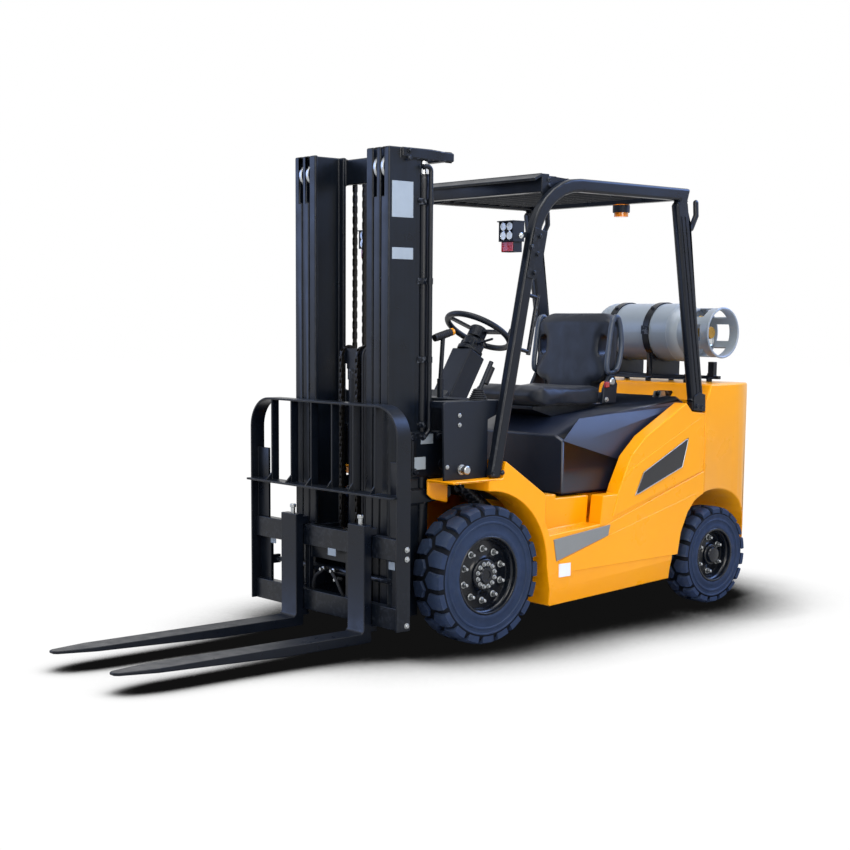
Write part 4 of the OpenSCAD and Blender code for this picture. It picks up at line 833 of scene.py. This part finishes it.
def addGuardTrim():
    body = bodyOf("guard_sides")
    form = bmesh.new()
    bolts = bmesh.new()
    for side in (1, -1):
        # joint plate between pillar and roof bend
        low, high = Vector((-262, 1718)), Vector((-312, 1950))
        run = (high - low).normalized()
        out = Vector((run.y, -run.x))
        corners = [low + out * 34, high + out * 34, high - out * 52, low - out * 52 + run * 60, low - out * 20]
        addPrism(form, [(c.x, side * 559.5, c.y) for c in corners], (0, side * 5, 0))
        for t, w in ((0.12, 8), (0.5, 8), (0.86, 8), (0.6, -36)):
            place = low.lerp(high, t) - out * w
            addBolt(bolts, (place.x, side * 564.5, place.y), (0, side, 0), 17, 8)
        # pressed grooves up the rear leg
        foot, head = Vector((-1539, 1090)), Vector((-1362, 2060))
        for off in (-16, 14):
            path = [(p.x + off, side * 560, p.y) for p in (foot.lerp(head, t / 6) for t in range(7))]
            addTube(form, path, 3.5, 8)
        # foot bracket of the rear leg
        addPrism(form, [(-1584, side * 560, 1048), (-1488, side * 560, 1058), (-1486, side * 560, 1128),
                        (-1530, side * 560, 1150), (-1580, side * 560, 1138)], (0, side * 5, 0))
        for x, z in ((-1560, 1072), (-1510, 1078)):
            addBolt(bolts, (x, side * 565, z), (0, side, 0), 19, 9)
        for x, z in ((-130, 800), (-70, 800)):
            addBolt(bolts, (x + 40, side * 560, z + 12), (0, side, 0), 15, 6)
        for z in (2160, 2190):
            addBolt(bolts, (-420, side * 511.5, z), (0, side, 0), 15, 7)
    roundEdges(addPiece("guard_plates", form, body, blackEnamel), 1.5, 2)
    addPiece("guard_bolts", bolts, body, blackEnamel, smooth=30)


def addLampTrim():
    body = bodyOf("work_lamps")
    x, z = -128, 1935
    shell, ring, red = bmesh.new(), bmesh.new(), bmesh.new()
    for side in (1, -1):
        y = side * 522
        addBox(shell, (x - 78, y - 50, z + 41.5), (x + 12, y + 50, z + 47))
        for dy in (-21, 21):
            for dz in (-21, 21):
                addLathe(ring, [(19, 0), (21, 1), (21, 6), (18.5, 6.5), (17, 2)],
                         (x - 8, y + dy, z + dz), (1, 0, 0), 28)
        addBox(red, (x - 12, y - 39, z - 93), (x - 8, y + 39, z - 50))
        addBolt(ring, (x - 50, y + side * 48, z - 20), (0, side, 0), 17, 7)
    roundEdges(addPiece("lamp_hoods", shell, body, mouldedAbs), 2, 2)
    addPiece("lamp_rings", ring, body, chromePlate)
    roundEdges(addPiece("lamp_red", red, body, redAcrylic), 2, 2)
    form = bmesh.new()
    addLathe(form, [(44.5, -12), (46, -10), (46, 26), (30, 30), (12, 32)], (-1358, 140, 2110), (0, 0, 1), 32)
    addPiece("beacon_mount", form, bodyOf("beacon"), mouldedAbs)


def addBottleTrim():
    body = bodyOf("lpg_bottle")
    centre = (-1810, 0, 1462)
    form = bmesh.new()
    for y in (-262, 222):
        addLathe(form, [(158.6, -4), (160.6, -2), (160.6, 2), (158.6, 4)], (centre[0], y, centre[2]), (0, 1, 0), 64)
    # rim wire of the collar
    ring = [(centre[0] + 132 * math.cos(a), 488, centre[2] + 132 * math.sin(a))
            for a in (2 * math.pi * k / 48 for k in range(49))]
    addTube(form, ring, 6.5, 10, caps=False)
    addPiece("bottle_rims", form, body, bottlePaint)
    form = bmesh.new()
    addLathe(form, [(0, 0), (30, 0), (34, 4), (34, 12), (30, 18), (0, 18)], (-1810, 396, 1462), (0, 1, 0), 12)
    addTube(form, curvePath([(-1810, 352, 1480), (-1796, 372, 1530), (-1750, 380, 1546), (-1722, 372, 1500)]), 8, 12)
    addLathe(form, [(0, 0), (15, 0), (15, 30), (10, 34), (0, 34)], (-1740, 372, 1530), (1, 0, 0), 6)
    addPiece("valve_fittings", form, body, forgedBrass, smooth=40)
    form = bmesh.new()
    addLathe(form, [(0, 0), (30, 0), (32, 3), (32, 16), (28, 20), (24, 18), (0, 18)],
             (-1872, 340, 1420), (0, 1, 0), 28)
    addPiece("bottle_gauge", form, body, chromePlate)
    # strap bolts, buckles and the bracket's bolts
    form = bmesh.new()
    for y in (-185, 80):
        for turn in (52, 128):
            a = math.radians(turn)
            out = Vector((math.cos(a), 0, math.sin(a)))
            addBolt(form, Vector(centre) + Vector((0, y, 0)) + out * 166, out, 17, 9)
        addBox(form, (-1650, y - 24, 1452), (-1640, y + 24, 1500))
    for x in (-1907, -1707):
        for y in (-270, 60, 330):
            addBolt(form, (x, y, 1224), (0, 0, 1), 22, 10)
    addPiece("bracket_bolts", form, bodyOf("lpg_bracket"), blackEnamel, smooth=30)


padding = {
    "voxel": 6,  # mm
    "evenBefore": 14, "evenAfter": 32,  # smoothing passes
    "pressure": 4, "stiffness": 20, "frames": 20,
}
softSeats = {
    # inset: how far the skin starts inside the solid, and cap: how far it may swell, mm
    "seat_cushion": {"cap": 11, "inset": 8, "fill": 0.75},
    "seat_back": {"cap": 10, "inset": 7, "fill": 0.8},
}


def swell(piece, cap):
    # padding blown up like a cushion, each point held within the cap
    start = [v.co.copy() for v in piece.data.vertices]
    cloth = piece.modifiers.new("padding", "CLOTH")
    cloth.settings.use_pressure = True
    cloth.settings.uniform_pressure_force = padding["pressure"]
    cloth.settings.tension_stiffness = padding["stiffness"]
    cloth.settings.compression_stiffness = padding["stiffness"]
    cloth.settings.bending_stiffness = padding["stiffness"]
    cloth.settings.effector_weights.gravity = 0
    cloth.collision_settings.use_collision = False
    for step in range(1, padding["frames"] + 1):
        scene.frame_set(step)
    settle(piece)
    scene.frame_set(1)
    for vert, place in zip(piece.data.vertices, start):
        move = vert.co - place
        if move.length > cap / 1000:
            vert.co = place + move.normalized() * cap / 1000


def addSeat(name, setup):
    form = bmesh.new()
    form.from_mesh(nodes[name].data)
    bmesh.ops.remove_doubles(form, verts=form.verts, dist=weldGap)
    bmesh.ops.transform(form, matrix=toScene.inverted(), verts=form.verts)
    piece = addPiece(name + "_pad", form, bodyOf(name), seatVinyl, stands=(name,))
    remesh = piece.modifiers.new("skin", "REMESH")
    remesh.mode = "VOXEL"
    remesh.voxel_size = padding["voxel"] / 1000
    even = piece.modifiers.new("even", "SMOOTH")
    even.iterations = padding["evenBefore"]
    even.factor = 0.6
    settle(piece)
    for vert, normal in [(v, v.normal.copy()) for v in piece.data.vertices]:
        vert.co -= normal * setup["inset"] / 1000
    swell(piece, setup["cap"])
    piece.data.materials.clear()
    piece.data.materials.append(seatVinyl)
    even = piece.modifiers.new("even", "SMOOTH")
    even.iterations = padding["evenAfter"]
    settle(piece)
    piece.data.shade_smooth()


def addSeatTrim():
    body = bodyOf("seat_base")
    form = bmesh.new()
    for side in (1, -1):
        addSlab(form, [(-1090, 1092), (-1196, 1092), (-1206, 1190), (-1180, 1240), (-1140, 1240), (-1100, 1170)],
                side * 268 - 10, side * 268 + 10)
    roundEdges(addPiece("seat_hinges", form, body, mouldedAbs), 5)
    # rims of the shell's side grips, drawn pale as painted light
    form = bmesh.new()
    wing = [(-1132, 1262), (-1140, 1390), (-1164, 1520), (-1206, 1540), (-1232, 1460), (-1236, 1370),
            (-1204, 1268)]
    for side in (1, -1):
        loop = [(x, side * 268, z) for x, z in wing]
        addTube(form, curvePath(loop[-2:] + loop + loop[:2])[8:-8], 14, 14)
    addPiece("seat_wings", form, bodyOf("seat_back"), shellPaintedLight)
    form = bmesh.new()
    addBox(form, (-1128, 276, 1176), (-1100, 292, 1206))
    roundEdges(addPiece("belt_buckle", form, body, redAcrylic), 3)
    form = bmesh.new()
    for side in (1, -1):
        addLathe(form, [(0, 0), (20, 0), (20, 4), (15, 8), (0, 8)], (-1160, side * 278, 1205), (0, side, 0), 24)
        addBolt(form, (-1120, side * 278, 1112), (0, side, 0), 17, 7)
    addPiece("seat_bolts", form, body, zincPlate, smooth=30)


for sideName, side in (("left", 1), ("right", -1)):
    addSideTrim(sideName, side)
addChains()
addMastTrim()
addForkTrim()
addCabTrim()
addGuardTrim()
addLampTrim()
addBottleTrim()
print("trim made")

for seatName, seatSetup in softSeats.items():
    addSeat(seatName, seatSetup)
addSeatTrim()
print("seat made")

studio = {
    "sky": "#A9C4F2",  # cool fill from all round
    "skyFill": 0.17,
    "floorColour": "#E2E3E6",
    # the floor's darkening round the truck is a painted shadow, set by the next three entries
    "shadeReach": 0.85,  # metres over which the truck darkens the floor
    "shadeLevel": (0.006, 1.02),  # how bright the floor is under the truck and far from it
    "shadeRange": (0.64, 0.975),  # how open the floor is at those two levels
    "floorHalf": 40,
    "lamps": [
        # place, aim, size, watts, colour
        ((0.6, 1.2, 6.6), (-0.4, 0, 0.8), 4.5, 430, "#FFFFFF"),
        ((1.6, 6.6, 3.4), (-0.6, 0, 0.9), 3.2, 250, "#FFFAF2"),
        ((5.6, 2.6, 3.2), (0.4, 0, 0.9), 2.6, 110, "#FFFFFF"),
        ((4.6, -5.2, 3.6), (0.4, 0, 1.1), 3.6, 150, "#8FB4FF"),
        ((-5.1, 2.4, 4.7), (-0.8, 0.45, 0.95), 3.6, 420, "#7FA6F5"),
    ],
}


def seenStraight(tree):
    # 1 where the eye looks at it, straight, through glass or in a reflection
    ray = addNode(tree, "ShaderNodeLightPath")
    clear = addNode(tree, "ShaderNodeMath", {"operation": "MAXIMUM"},
                    {0: ray.outputs["Is Camera Ray"], 1: ray.outputs["Is Transmission Ray"]}).outputs[0]
    return addNode(tree, "ShaderNodeMath", {"operation": "MAXIMUM"},
                   {0: clear, 1: ray.outputs["Is Glossy Ray"]}).outputs[0]


def makePaper(setup):
    # white studio paper: near the truck a painted shadow, its glow dimmed by ambient occlusion where seen straight, and
    # far from it plain white
    paper = bpy.data.materials.new("studioPaper")
    paper.use_nodes = True
    tree = paper.node_tree
    tree.nodes.remove(tree.nodes["Principled BSDF"])
    openness = addNode(tree, "ShaderNodeAmbientOcclusion", {"samples": 24, "Distance": setup["shadeReach"]})
    (low, high), (dark, bright) = setup["shadeRange"], setup["shadeLevel"]
    level = addNode(tree, "ShaderNodeMapRange",
                    {"interpolation_type": "SMOOTHSTEP", 1: low, 2: high, 3: dark, 4: bright},
                    {0: openness.outputs["AO"]})
    # painted shadow: the floor seen straight glows white, dimmed where the truck crowds it
    glowWithPaintedShadow = addNode(tree, "ShaderNodeEmission", {"Color": (1, 1, 1, 1)}, {"Strength": level.outputs[0]})
    matt = addNode(tree, "ShaderNodeBsdfDiffuse", {"Color": hexColour(setup["floorColour"])})
    both = addNode(tree, "ShaderNodeMixShader", {}, {0: seenStraight(tree), 1: matt.outputs[0], 2: glowWithPaintedShadow.outputs[0]})
    tree.links.new(both.outputs[0], tree.nodes["Material Output"].inputs["Surface"])
    return paper


def addStudio(setup):
    world = bpy.data.worlds.new("studio")
    scene.world = world
    world.use_nodes = True
    tree = world.node_tree
    seen = seenStraight(tree)
    level = addNode(tree, "ShaderNodeMapRange", {3: setup["skyFill"], 4: 1.0}, {0: seen})
    tint = addNode(tree, "ShaderNodeMix",
                   {"data_type": "RGBA", 6: hexColour(setup["sky"]), 7: (1, 1, 1, 1)}, {0: seen})
    tree.links.new(level.outputs[0], tree.nodes["Background"].inputs["Strength"])
    tree.links.new(tint.outputs[2], tree.nodes["Background"].inputs["Color"])
    floorMesh = bpy.data.meshes.new("floor")
    half = setup["floorHalf"]
    corners = [(-half, -half, 0), (half, -half, 0), (half, half, 0), (-half, half, 0)]
    floorMesh.from_pydata(corners, [], [(0, 1, 2, 3)])
    floor = bpy.data.objects.new("floor", floorMesh)
    scene.collection.objects.link(floor)
    floorMesh.materials.append(makePaper(setup))
    for i, (place, aim, size, watts, colour) in enumerate(setup["lamps"]):
        data = bpy.data.lights.new("softbox%d" % i, "AREA")
        data.energy = watts
        data.color = hexColour(colour)[:3]
        data.size = size
        lamp = bpy.data.objects.new("softbox%d" % i, data)
        lamp.location = place
        lamp.rotation_euler = (Vector(aim) - Vector(place)).to_track_quat("-Z", "Y").to_euler()
        scene.collection.objects.link(lamp)


addStudio(studio)
